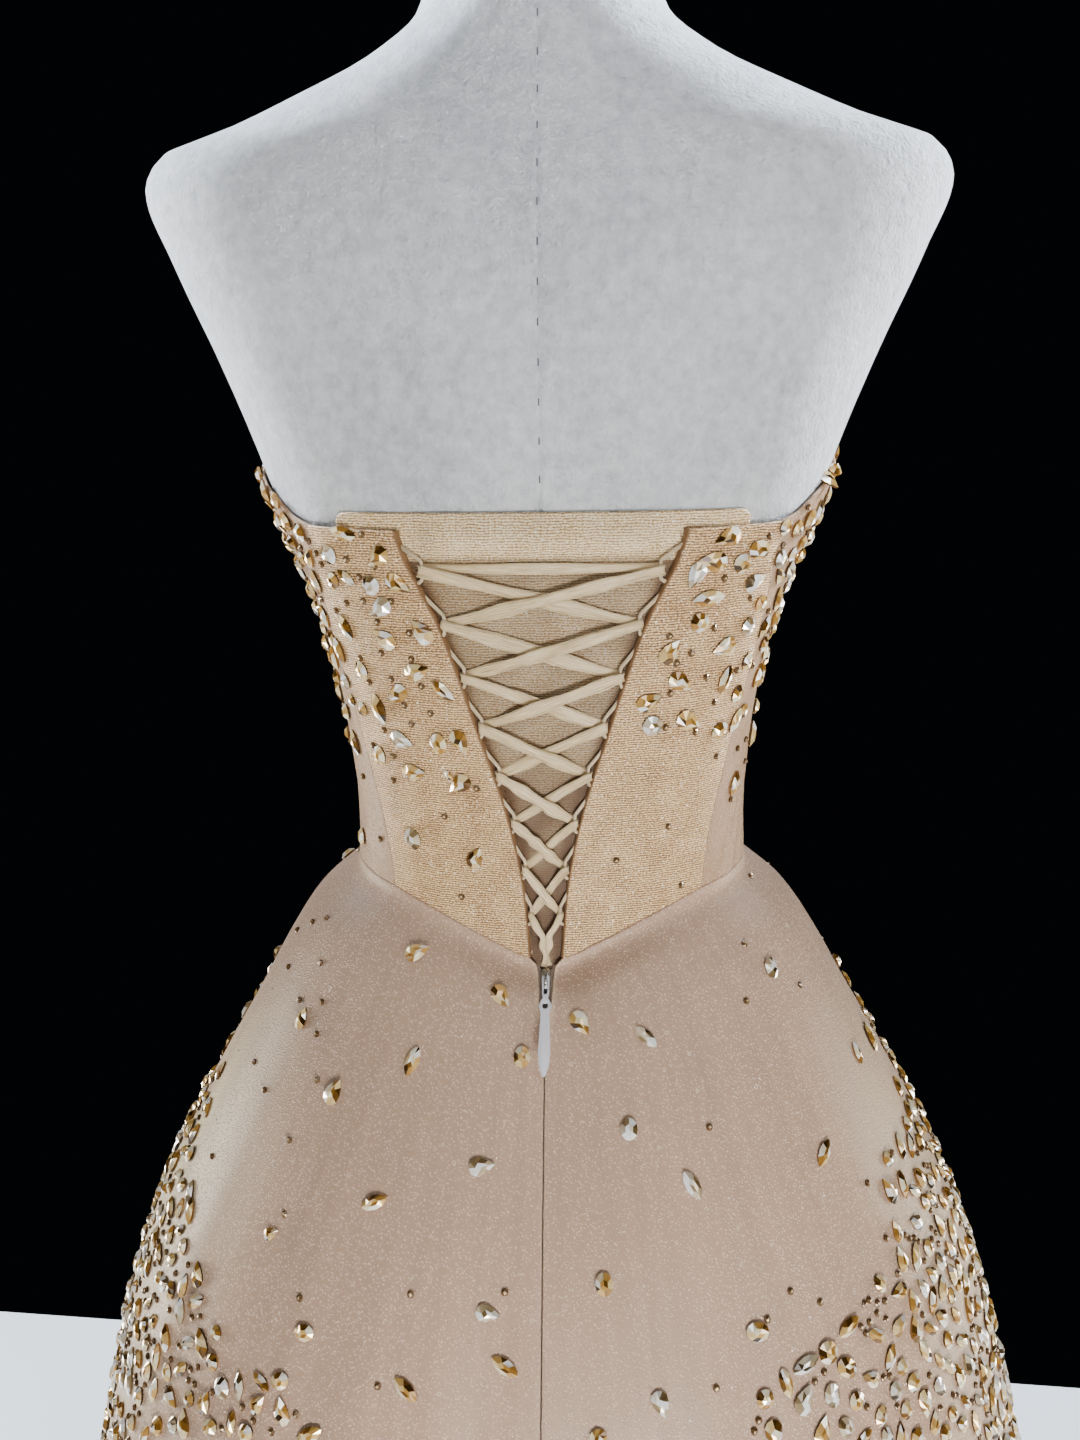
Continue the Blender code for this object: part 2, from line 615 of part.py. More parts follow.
def modesty_point(row, column, out):
    """Point on the panel, down to the waist seam and round at its upper corners."""
    across = 2.0 * column - 1.0
    across = math.copysign(abs(across) ** 0.8, across)
    x = -MODESTY_HALF * across
    corner = max(0.0, abs(x) - (MODESTY_HALF - MODESTY_CORNER)) / MODESTY_CORNER
    top = MODESTY_TOP - MODESTY_CORNER * (1.0 - math.sqrt(max(0.0, 1.0 - corner * corner)))
    foot = share_at_x(abs(x) * (1.0 - MODESTY_NARROW), 0.0)
    bottom = waist_line(foot) + MODESTY_OVER_WAIST
    narrow = 1.0 - MODESTY_NARROW * (1.0 - row)
    return modesty_surface(x * narrow, bottom + (top - bottom) * row, out)


def build_modesty(cloth):
    """Panel behind the laces, under both edges of the opening."""
    def face(out):
        return grid(MODESTY_ROWS, MODESTY_COLUMNS, lambda row, column: modesty_point(row, column, out))

    wall("modesty_panel", face(MODESTY_THICK), face(0.0), cloth)


# ---------------------------------------------------------------- loops and lace
def loop_tip(side, index):
    """Middle of a loop's upright tip: x, height."""
    z = LOOP_TOP - LOOP_PITCH * index
    reach = LOOP_FIRST_REACH if index == 0 else LOOP_REACH
    return side * (v_edge_x(z) - reach), z


def tube(name, path, radius, material):
    """Round cord along a path with filled ends."""
    curve = bpy.data.curves.new(name, "CURVE")
    curve.dimensions = "3D"
    curve.bevel_depth = radius
    curve.bevel_resolution = 1
    curve.use_fill_caps = True
    spline = curve.splines.new("POLY")
    spline.points.add(len(path) - 1)
    for point, place in zip(spline.points, path):
        point.co = (place.x, place.y, place.z, 1.0)
    curve.materials.append(material)
    obj = bpy.data.objects.new(name, curve)
    COLLECTION.objects.link(obj)
    return obj


def build_loops(side, word, cord):
    """One cord run in loops along an edge, held down on the edge between the loops."""
    def on_edge(z):
        return back_surface(side * (v_edge_x(z) - CORD_RADIUS - CORD_CLEAR), z, CORD_EDGE_OUT)

    path = [on_edge(LOOP_TOP + 0.5 * LOOP_TALL + LOOP_LEAD)]
    for k in range(LOOPS):
        x, z = loop_tip(side, k)
        low = z - 0.5 * LOOP_TALL
        path.append(back_surface(x, z + 0.5 * LOOP_TALL, CORD_TIP_OUT))
        path.append(back_surface(x, low, CORD_TIP_OUT))
        path.append(on_edge(low - LOOP_FOOT))
        if k < LOOPS - 1:
            path.append(on_edge(low - LOOP_FOOT - LOOP_FOOT_LONG))
    return tube("loops_" + word, path, CORD_RADIUS, cord)


def strip(name, path, wides, material):
    """Flat ribbon along a path: each path item is a place, a width axis and a face normal."""
    vertices = []
    for (place, wide_axis, normal), wide in zip(path, wides):
        for a, b in ((-1, -1), (1, -1), (1, 1), (-1, 1)):
            vertices.append(place + wide_axis * (a * wide * 0.5) + normal * (b * LACE_THICK * 0.5))
    faces = []
    count = len(path)
    for k in range(count - 1):
        for e in range(4):
            f = (e + 1) % 4
            faces.append((k * 4 + e, k * 4 + f, (k + 1) * 4 + f, (k + 1) * 4 + e))
    faces.append((3, 2, 1, 0))
    last = (count - 1) * 4
    faces.append((last, last + 1, last + 2, last + 3))
    return add_mesh(name, vertices, faces, material)


def strand(start, finish, in_front):
    """Places of one run of lace, from the front of one tip to the back of the next."""
    x0, z0 = start
    x1, z1 = finish
    middle = LACE_FRONT - LACE_CROSS_SHIFT if in_front else LACE_BACK + LACE_CROSS_SHIFT
    places = []
    for s in STRAND_STEPS:
        if s < 0.36:
            out = LACE_FRONT + (middle - LACE_FRONT) * ease(s / 0.36)
        elif s > 0.64:
            out = middle + (LACE_BACK - middle) * ease((s - 0.64) / 0.36)
        else:
            out = middle
        x = x0 + (x1 - x0) * s
        z = z0 + (z1 - z0) * s
        flat = ease(min(s, 1.0 - s) / 0.30)
        places.append((x, z, out, flat, 0))
    return places


def turn(side, tip):
    """Places of the lace round one upright tip, from behind it to before it."""
    x, z = tip
    centre = 0.5 * (LACE_FRONT + LACE_BACK)
    radius = 0.5 * (LACE_FRONT - LACE_BACK)
    places = []
    for k in range(5):
        angle = math.pi * k / 4.0
        places.append((x + side * radius * math.sin(angle), z + LACE_TURN_DROP * (0.5 - k / 4.0),
                       centre - radius * math.cos(angle), 0.0, 0))
    return places


def half_lace(first_side, word):
    """Places of half the ribbon, from behind the top tip down to its tucked end."""
    places = []
    for k in range(LOOPS):
        side = first_side if k % 2 == 0 else -first_side
        tip = loop_tip(side, k)
        places += turn(side, tip)
        if k < LOOPS - 1:
            after = loop_tip(-side, k + 1)
            places += strand(tip, after, CROSS_FRONT[k] == word)
    return places


def tail(side, tip, facing):
    """Free end tucked down behind the top of the zip; facing is the side its face turns to."""
    x, z = tip
    end_x = side * LACE_TUCK_X
    end_z = waist_line(0.0) - LACE_TUCK_DOWN
    places = []
    for s in TAIL_STEPS:
        places.append((x + (end_x - x) * ease(s * 1.2), z + (end_z - z) * s,
                       LACE_FRONT + (LACE_TUCK_OUT - LACE_FRONT) * ease(s), 1.0, facing))
    return places


def build_lace(satin):
    """One ribbon: up one half of the zigzag, across the top, and down the other half."""
    last = LOOPS - 1
    end_side = 1 if last % 2 == 0 else -1
    up_tail = tail(end_side, loop_tip(end_side, last), end_side)
    down_tail = tail(-end_side, loop_tip(-end_side, last), end_side)
    chain = list(reversed(up_tail)) + list(reversed(half_lace(1, "B")))
    tip_left = loop_tip(1, 0)
    tip_right = loop_tip(-1, 0)
    for s in TOP_RUN_STEPS:
        chain.append((tip_left[0] + (tip_right[0] - tip_left[0]) * s, tip_left[1] + 0.0008,
                      LACE_BACK, 0.0, 0))
    chain += half_lace(-1, "A") + down_tail
    points = [back_surface(x, z, out) for x, z, out, flat, facing in chain]
    path = []
    wides = []
    count = len(points)
    for k, (x, z, out, flat, facing) in enumerate(chain):
        heading = (points[min(k + 1, count - 1)] - points[max(k - 1, 0)]).normalized()
        up = (back_surface(x, z + 0.003, out) - back_surface(x, z - 0.003, out)).normalized()
        if facing:
            normal = up.cross(Vector((facing, 0.0, 0.0))).normalized()
            wide_axis = heading.cross(normal).normalized()
        else:
            level = heading - up * heading.dot(up)
            normal = up.cross(level).normalized()
            slanted = heading.cross(normal).normalized()
            wide_axis = up.lerp(slanted, 0.85 * flat).normalized()
        normal = (normal - wide_axis * normal.dot(wide_axis)).normalized()
        path.append((points[k], wide_axis, normal))
        spread = min(1.0, max(0.0, (z - waist_line(0.0)) / 0.10))
        wides.append(LACE_WIDE * (LACE_GATHER + (1.0 - LACE_GATHER) * spread))
    return strip("corset_lace", path, wides, satin)


# ---------------------------------------------------------------- skirt
def skirt_ring(depth):
    """Half ring of the skirt at a depth, without its folds."""
    key = ("skirt", round(depth, 6))
    if key not in RINGS:
        half_width, front, back = smooth_table(SKIRT, depth)
        x, y = half_outline(half_width, front, back, SKIRT_SQUARE, SKIRT_SQUARE)
        RINGS[key] = ring_frame(x, y)
    return RINGS[key]


def fold(u, depth):
    """Soft uneven folds that grow towards the hem."""
    grow = ease((depth - FOLD_START) / 0.75) * FOLD_DEPTH
    angle = 2.0 * math.pi * u
    wave = math.cos(FOLDS * angle + 0.9 * math.sin(2.0 * angle + 0.6) + 0.5 * math.sin(5.0 * angle))
    uneven = 0.72 + 0.28 * math.sin(3.0 * angle + 1.1)
    return grow * wave * uneven


def skirt_point(u, depth, out):
    """Point of the skirt at a depth below the waist seam; out is off its inner face."""
    seam = waist_line(u) - SEAM_GAP
    hem = HEM_CLEAR - WAIST_Z
    z = seam + (hem - seam) * depth / SKIRT_ROWS[-1]
    top_x, top_y = on_ring(body_ring(seam), u, bodice_out(u, seam) + out)
    x, y = on_ring(skirt_ring(depth), u, out - SKIRT_WALL + fold(u, depth))
    share = ease(depth / SKIRT_TOP_BLEND)
    return Vector((top_x + (x - top_x) * share, top_y + (y - top_y) * share, z + WAIST_Z))


def slit_half(depth):
    """Half the opening between the two back panels."""
    return float(smooth_table(SLIT, depth)[0])


def skirt_share_at_x(x, depth):
    """Place round the skirt's outer face at an x near the centre back."""
    low, high = 0.0, 0.2
    for _ in range(40):
        middle = 0.5 * (low + high)
        if skirt_point(middle, depth, SKIRT_WALL).x < x:
            low = middle
        else:
            high = middle
    return 0.5 * (low + high)


def skirt_chance(row, away):
    """Chance of a stone in a row of cells, at a place away from the nearer centre line."""
    index = min(int((1.0 - row) * (len(SKIRT_ROWS) - 1)), len(SKIRT_ROWS) - 2)
    depth = 0.5 * (SKIRT_ROWS[index] + SKIRT_ROWS[index + 1])
    start, crowd, plain = smooth_table(SKIRT_CROWD, depth)
    inside = ease((away - start) / SKIRT_CROWD_EDGE)
    return crowd * inside + (plain if away > SKIRT_PLAIN_EDGE else 0.0)


def skirt_grid(place, columns, out):
    """Grid of skirt points, hem first; place(depth, share) is the place round."""
    return [[skirt_point(place(depth, c / columns), depth, out) for c in range(columns + 1)]
            for depth in reversed(SKIRT_ROWS)]


def skirt_panel(name, place, columns, cloth, cells):
    """Wall of one skirt panel; its stones have four sides."""
    wall(name, skirt_grid(place, columns, SKIRT_WALL), skirt_grid(place, columns, 0.0), cloth, cells, 4)


def build_skirt(cloth):
    """Two back panels that meet at the zip's seam, and one front panel."""
    slits = {depth: skirt_share_at_x(slit_half(depth), depth) for depth in SKIRT_ROWS}
    rows = len(SKIRT_ROWS) - 1
    gap = 0.5 * SEAM_GAP / SKIRT_HALF_ROUND
    for side, word in ((1, "left"), (-1, "right")):
        def place(depth, share):
            away = share if side < 0 else 1.0 - share
            return side * (slits[depth] + (SKIRT_SEAM - gap - slits[depth]) * away)

        def back_chance(row, share):
            return skirt_chance(row, SKIRT_SEAM * (share if side < 0 else 1.0 - share))

        cells = scatter_stones(rows, SKIRT_BACK_COLUMNS, 61 + side, back_chance)
        skirt_panel("skirt_back_" + word, place, SKIRT_BACK_COLUMNS, cloth, cells)

    first = SKIRT_SEAM + gap

    def front_place(depth, share):
        u = first + (1.0 - 2.0 * first) * share
        return -u if u <= 0.5 else 1.0 - u

    def front_chance(row, share):
        away = abs(front_place(0.0, share))
        return SKIRT_FRONT_SHARE * skirt_chance(row, 0.5 - away if away > SKIRT_FRONT_MIDDLE else 0.20)

    cells = scatter_stones(rows, SKIRT_FRONT_COLUMNS, 83, front_chance)
    skirt_panel("skirt_front", front_place, SKIRT_FRONT_COLUMNS, cloth, cells)


# ---------------------------------------------------------------- zip
def zip_frame(run):
    """Place, down direction and outward normal on the skirt's centre back."""
    depths = np.linspace(0.0, 0.30, 301)
    places = [skirt_point(0.0, float(d), SKIRT_WALL) for d in depths]
    lengths = [0.0]
    for a, b in zip(places, places[1:]):
        lengths.append(lengths[-1] + (b - a).length)
    index = int(np.searchsorted(lengths, run))
    index = min(max(index, 1), len(places) - 2)
    down = (places[index + 1] - places[index - 1]).normalized()
    normal = Vector((0.0, -down.z, down.y))
    share = (run - lengths[index - 1]) / (lengths[index] - lengths[index - 1])
    return places[index - 1].lerp(places[index], share), down, normal


def frame_matrix(place, down, normal):
    """Local x across, local y down the back, local z outward."""
    across = down.cross(normal)
    matrix = Matrix((
        (across.x, down.x, normal.x, place.x),
        (across.y, down.y, normal.y, place.y),
        (across.z, down.z, normal.z, place.z),
        (0.0, 0.0, 0.0, 1.0),
    ))
    return matrix


def build_tapes(cloth):
    """Woven zip tapes inside the back seam, their tops showing in the slit."""
    depths = [depth for depth in reversed(SKIRT_ROWS) if 0.0 < depth < TAPE_LONG] + [TAPE_TOP]
    for side, word in ((1, "left"), (-1, "right")):
        def place(depth, share):
            inner = max(slit_half(depth) - TAPE_SHOWS, 0.0003)
            away = share if side < 0 else 1.0 - share
            return side * skirt_share_at_x(inner + TAPE_WIDE * away, depth)

        def face(out):
            return [[skirt_point(place(depth, c / 2), depth, out) for c in range(3)]
                    for depth in depths]

        wall("zip_tape_" + word, face(-TAPE_GAP), face(-TAPE_GAP - TAPE_THICK), cloth)


def tool_object(obj):
    """Move a boolean tool out of the dress and hide it."""
    for owner in list(obj.users_collection):
        owner.objects.unlink(obj)
    TOOLS.objects.link(obj)
    obj.hide_render = True
    obj.display_type = "WIRE"


def add_boolean(obj, tool, operation):
    modifier = obj.modifiers.new(operation.lower(), "BOOLEAN")
    modifier.object = tool
    modifier.operation = operation
    modifier.solver = "EXACT"


def extrude_outline(name, outline, low, high, matrix, material):
    """Flat plate from an outline in local x and y, between two local heights."""
    shape = bmesh.new()
    bottom = shape.faces.new([shape.verts.new((x, y, low)) for x, y in outline])
    raised = bmesh.ops.extrude_face_region(shape, geom=[bottom])["geom"]
    upper = [item for item in raised if isinstance(item, bmesh.types.BMVert)]
    bmesh.ops.translate(shape, verts=upper, vec=(0.0, 0.0, high - low))
    bmesh.ops.recalc_face_normals(shape, faces=shape.faces)
    shape.transform(matrix)
    mesh = bpy.data.meshes.new(name)
    shape.to_mesh(mesh)
    shape.free()
    mesh.materials.append(material)
    obj = bpy.data.objects.new(name, mesh)
    COLLECTION.objects.link(obj)
    return obj


def build_slider(metal):
    """Slider with its bail, an arch over the pull's hinge bar, joined to it."""
    matrix = frame_matrix(*zip_frame(SLIDER_DOWN))
    half = 0.5 * SLIDER_LONG
    wide = 0.5 * SLIDER_WIDE
    right = ((0.6 * wide, -half), (wide, SLIDER_CORNER - half),
             (0.84 * wide, half - SLIDER_SHOULDER), (0.6 * wide, half))
    outline = right + tuple((-x, y) for x, y in reversed(right))
    slider = extrude_outline("zip_slider", outline, -0.5 * SLIDER_THICK, 0.5 * SLIDER_THICK,
                             matrix, metal)
    foot = 0.5 * SLIDER_THICK - BAIL_SINK
    under = 0.5 * SLIDER_THICK + BAIL_CLEAR
    inner = BAIL_REACH - BAIL_THICK
    outer_half = ((BAIL_REACH - 2.0 * BAIL_BEND, under + BAIL_THICK), (BAIL_REACH, under), (BAIL_REACH, foot))
    inner_half = ((inner, foot), (inner, under - BAIL_BEND), (inner - BAIL_BEND, under))
    arch = outer_half + inner_half
    arch += tuple((-x, y) for x, y in reversed(arch))
    # The arch's outline lies along the back and outward, so its plate is turned on edge.
    on_edge = matrix @ Matrix(((0, 0, 1, 0), (1, 0, 0, 0), (0, 1, 0, 0), (0, 0, 0, 1)))
    bail = extrude_outline("bail_tool", arch, -0.5 * BAIL_WIDE, 0.5 * BAIL_WIDE, on_edge, metal)
    tool_object(bail)
    add_boolean(slider, bail, "UNION")


def pull_tilt():
    """Rest angle at which the hanging pull just clears the slider's foot and the skirt."""
    to_local = frame_matrix(*zip_frame(SLIDER_DOWN)).inverted()
    hinge = 0.5 * SLIDER_THICK + 0.5 * BAIL_CLEAR
    over = 0.5 * PULL_THICK + PULL_CLEAR
    steepest = math.atan2(0.5 * SLIDER_THICK + over - hinge, 0.5 * SLIDER_LONG)
    for k in range(60):
        surface = to_local @ skirt_point(0.0, 0.012 + 0.001 * k, SKIRT_WALL)
        if 0.5 * SLIDER_LONG < surface.y < PULL[-1][0]:
            steepest = max(steepest, math.atan2(surface.z + over - hinge, surface.y))
    return steepest


def build_pull(metal):
    """Pull hanging from the bail: a slotted link, an eye and a leaf-shaped tab."""
    frame = frame_matrix(*zip_frame(SLIDER_DOWN))
    hinge = Matrix.Translation((0.0, 0.0, 0.5 * SLIDER_THICK + 0.5 * BAIL_CLEAR))
    matrix = frame @ hinge @ Matrix.Rotation(pull_tilt(), 4, "X")
    outline = [(half, y) for y, half in PULL]
    outline += [(-half, y) for y, half in reversed(PULL)]
    low = -0.5 * PULL_THICK
    high = 0.5 * PULL_THICK
    pull = extrude_outline("zip_pull", outline, low, high, matrix, metal)
    slot = ((-PULL_SLOT_HALF, PULL_SLOT_LOW), (PULL_SLOT_HALF, PULL_SLOT_LOW),
            (PULL_SLOT_HALF, PULL_SLOT_HIGH - 0.0006), (0.0, PULL_SLOT_HIGH),
            (-PULL_SLOT_HALF, PULL_SLOT_HIGH - 0.0006))
    eye = [(PULL_EYE_RADIUS * math.cos(2 * math.pi * k / 16),
            PULL_EYE_AT + PULL_EYE_RADIUS * math.sin(2 * math.pi * k / 16)) for k in range(16)]
    for name, shape in (("slot_tool", slot), ("eye_tool", eye)):
        tool = extrude_outline(name, shape, 3 * low, 3 * high, matrix, metal)
        tool_object(tool)
        add_boolean(pull, tool, "DIFFERENCE")


# ---------------------------------------------------------------- build
def clear_and_collect():
    """Empty scene with one collection for the dress and one for the boolean tools."""
    for obj in list(bpy.data.objects):
        bpy.data.objects.remove(obj, do_unlink=True)
    made = []
    for name in ("evening_dress", "tools"):
        collection = bpy.data.collections.new(name)
        bpy.context.scene.collection.children.link(collection)
        made.append(collection)
    return made


COLLECTION, TOOLS = clear_and_collect()


def main():
    """Materials, then every piece from the form outwards."""
    cover = make_material("form_cover", (0.80, 0.81, 0.82), 0.9, 0.0)
    steel = make_material("stand_steel", (0.70, 0.70, 0.70), 0.35, 1.0)
    glitter = make_material("glitter_mesh", (0.62, 0.47, 0.34), 0.6, 0.0)
    tulle = make_material("tulle_over_satin", (0.68, 0.54, 0.40), 0.5, 0.0)
    satin = make_material("lace_satin", (0.80, 0.71, 0.58), 0.4, 0.0)
    tape = make_material("zip_tape", (0.62, 0.52, 0.44), 0.7, 0.0)
    slider = make_material("slider_metal", (0.72, 0.71, 0.70), 0.3, 1.0)
    enamel = make_material("pull_enamel", (0.70, 0.67, 0.66), 0.35, 0.0)
    build_form(cover)
    build_stand(steel)
    build_bodice(glitter, tulle)
    build_modesty(glitter)
    build_loops(1, "left", satin)
    build_loops(-1, "right", satin)
    build_lace(satin)
    build_skirt(tulle)
    build_tapes(tape)
    build_slider(slider)
    build_pull(enamel)


main()
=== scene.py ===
"""Strapless A-line evening dress on a white dress form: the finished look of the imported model.

Metres, +Z up, the laced back towards +Y and the wearer's left towards +X.  Heights in the
tables are measured from the side waist, as in the solids' own source.
"""

import json
import logging
import math
from collections.abc import Callable
from dataclasses import dataclass, field
from enum import Enum
from functools import partial
from itertools import product

import bmesh
import bpy
import numpy as np
from bpy.types import Collection, ID, Material, Node, NodeSocket, NodeTree, Object, bpy_prop_collection
from mathutils import Matrix, Vector
from mathutils.bvhtree import BVHTree

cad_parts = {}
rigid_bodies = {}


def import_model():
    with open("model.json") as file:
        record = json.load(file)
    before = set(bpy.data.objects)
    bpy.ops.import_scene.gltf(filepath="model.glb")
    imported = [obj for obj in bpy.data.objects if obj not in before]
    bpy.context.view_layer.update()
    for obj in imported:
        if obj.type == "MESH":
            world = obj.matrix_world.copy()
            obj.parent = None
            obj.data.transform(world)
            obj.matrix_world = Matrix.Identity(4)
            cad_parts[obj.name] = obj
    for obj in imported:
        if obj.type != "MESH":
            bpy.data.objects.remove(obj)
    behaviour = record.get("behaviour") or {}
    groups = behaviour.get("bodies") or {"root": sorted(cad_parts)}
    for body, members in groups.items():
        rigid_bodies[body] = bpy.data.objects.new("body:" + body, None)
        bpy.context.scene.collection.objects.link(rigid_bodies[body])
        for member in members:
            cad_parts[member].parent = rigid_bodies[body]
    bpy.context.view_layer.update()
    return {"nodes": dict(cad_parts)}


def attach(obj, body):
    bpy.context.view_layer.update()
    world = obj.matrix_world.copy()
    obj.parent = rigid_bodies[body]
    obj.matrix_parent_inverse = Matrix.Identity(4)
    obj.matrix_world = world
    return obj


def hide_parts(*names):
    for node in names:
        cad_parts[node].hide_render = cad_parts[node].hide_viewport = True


Array = np.ndarray
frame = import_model()
LOG = logging.getLogger("evening_dress")
WAIST_Z = 1.060
HEM_CLEAR = 0.020
# Share of the outer face's relief that a cloth wall's inner face has too.
INNER_RELIEF = 0.9


class Carrier(Enum):
    """The bodies that pieces ride on."""

    GOWN = "dress_and_form"
    PULL = "pull"


class Side(Enum):
    """The wearer's two sides; the value is the sign of x."""

    LEFT = 1
    RIGHT = -1

    @property
    def word(self) -> str:
        """The side's name in node names."""
        return self.name.lower()


class Cut(Enum):
    """Shapes of the sewn-on stones; the value is the order of their templates."""

    PEAR = 0
    NAVETTE = 1
    OVAL = 2
    ROUND = 3
    BEAD = 4


# ---------------------------------------------------------------- small maths
def srgb(code: str) -> tuple[float, float, float, float]:
    """Linear colour of an sRGB hex value.

    Args:
        code: Six hex digits.

    Returns:
        Red, green, blue and alpha.
    """
    values = [int(code[i:i + 2], 16) / 255.0 for i in (0, 2, 4)]
    linear = [v / 12.92 if v <= 0.04045 else ((v + 0.055) / 1.055) ** 2.4 for v in values]
    return (linear[0], linear[1], linear[2], 1.0)


def smooth(table: tuple, places: Array) -> Array:
    """Values of a table's later columns, eased between its rows without overshoot.

    Args:
        table: Rows of a key and its values.
        places: Keys to look up.

    Returns:
        One row of values for each place.
    """
    rows = np.array(table, dtype=float)
    keys = rows[:, 0]
    values = rows[:, 1:]
    at = np.clip(np.atleast_1d(np.asarray(places, dtype=float)), keys[0], keys[-1])
    steps = np.diff(keys)
    slopes = np.diff(values, axis=0) / steps[:, None]
    tangents = np.zeros_like(values)
    tangents[0] = slopes[0]
    tangents[-1] = slopes[-1]
    same = slopes[:-1] * slopes[1:] > 0
    total = np.where(same, slopes[:-1] + slopes[1:], 1.0)
    tangents[1:-1] = np.where(same, 2.0 * slopes[:-1] * slopes[1:] / total, 0.0)
    index = np.clip(np.searchsorted(keys, at, side="right") - 1, 0, len(steps) - 1)
    h = steps[index][:, None]
    t = ((at - keys[index]) / steps[index])[:, None]
    return ((2 * t**3 - 3 * t**2 + 1) * values[index] + (t**3 - 2 * t**2 + t) * h * tangents[index]
            + (-2 * t**3 + 3 * t**2) * values[index + 1] + (t**3 - t**2) * h * tangents[index + 1])


def lookup(table: tuple, places: Array) -> Array:
    """First value column of a smooth table, in the shape of places."""
    shape = np.shape(places)
    return smooth(table, np.ravel(places))[:, 0].reshape(shape)


def ease(t: Array) -> Array:
    """Soft step from 0 to 1."""
    t = np.clip(t, 0.0, 1.0)
    return t * t * (3.0 - 2.0 * t)


def unit(v: Array) -> Array:
    """Vectors scaled to length one, along the last axis."""
    return v / np.maximum(np.linalg.norm(v, axis=-1, keepdims=True), 1e-12)


def half_ring(wide: float, front: float, back: float, square_front: float, square_back: float,
              steps: int = 240) -> tuple[Array, Array]:
    """Half a superellipse ring, from centre back round the +X side to centre front.

    Args:
        wide: Half width.
        front: Depth of the front half.
        back: Depth of the back half.
        square_front: Power of the front half.
        square_back: Power of the back half.
        steps: Points.

    Returns:
        The x and y of its points.
    """
    angle = np.linspace(0.0, math.pi, steps)
    across = np.abs(np.sin(angle))
    along = np.cos(angle)
    depth = np.where(along >= 0, back, front)
    power = np.where(along >= 0, square_back, square_front)
    size = (across / wide) ** power + (np.abs(along) / depth) ** power
    radius = size ** (-1.0 / power)
    return radius * across, radius * along


@dataclass
class RingStack:
    """Rings over a key (height or depth), looked up by key and place round.

    The place round is 0 at centre back and 0.5 at centre front, positive on the +X side.
    """

    keys: Array
    x: Array
    y: Array
    nx: Array
    ny: Array

    SHARES: int = 181

    @classmethod
    def of(cls, keys: Array, rings: list[tuple[Array, Array]]) -> "RingStack":
        """Stack from one half ring at each key.

        Args:
            keys: Heights or depths.
            rings: The x and y of the half ring at each.

        Returns:
            The stack.
        """
        share = np.linspace(0.0, 0.5, cls.SHARES)
        parts = [[], [], [], []]
        for x, y in rings:
            run = np.concatenate(([0.0], np.cumsum(np.hypot(np.diff(x), np.diff(y)))))
            tx, ty = np.gradient(x), np.gradient(y)
            length = np.hypot(tx, ty)
            nx, ny = -ty / length, tx / length
            nx[0], ny[0], nx[-1], ny[-1] = 0.0, 1.0, 0.0, -1.0
            for part, values in zip(parts, (x, y, nx, ny)):
                part.append(np.interp(share, 0.5 * run / run[-1], values))
        return cls(keys, *(np.array(part) for part in parts))

    def _mix(self, values: Array, row: Array, column: Array) -> Array:
        """Bilinear value at fractional rows and columns.

        Args:
            values: Grid of values.
            row: Rows.
            column: Columns.

        Returns:
            The values there.
        """
        r0 = np.clip(row.astype(int), 0, values.shape[0] - 2)
        c0 = np.clip(column.astype(int), 0, values.shape[1] - 2)
        fr, fc = row - r0, column - c0
        return ((values[r0, c0] * (1 - fc) + values[r0, c0 + 1] * fc) * (1 - fr)
                + (values[r0 + 1, c0] * (1 - fc) + values[r0 + 1, c0 + 1] * fc) * fr)

    def at(self, u: Array, key: Array, out: Array) -> tuple[Array, Array]:
        """Plan position at places round and keys, moved out along the ring's normal.

        Args:
            u: Places round.
            key: Keys.
            out: Distances out.

        Returns:
            The x and y.
        """
        u, key, out = np.broadcast_arrays(*(np.asarray(values, float) for values in (u, key, out)))
        row = np.interp(key, self.keys, np.arange(len(self.keys)))
        column = np.abs(u) / 0.5 * (self.SHARES - 1)
        x = self._mix(self.x, row, column) + out * self._mix(self.nx, row, column)
        y = self._mix(self.y, row, column) + out * self._mix(self.ny, row, column)
        return np.where(u < 0, -x, x), y

    def back(self, x: float, key: float) -> tuple[float, float, float]:
        """The back half at an x.

        Args:
            x: The x.
            key: The key.

        Returns:
            The place round, the y and the normal's y.
        """
        row = float(np.interp(key, self.keys, np.arange(len(self.keys))))
        low = min(int(row), len(self.keys) - 2)
        f = row - low
        ring_x = self.x[low] * (1 - f) + self.x[low + 1] * f
        half = int(np.argmax(ring_x))
        share = np.linspace(0.0, 0.5, self.SHARES)
        u = float(np.interp(abs(x), ring_x[:half], share[:half]))
        y = float(np.interp(u, share, self.y[low] * (1 - f) + self.y[low + 1] * f))
        ny = float(np.interp(u, share, self.ny[low] * (1 - f) + self.ny[low + 1] * f))
        return u, y, ny


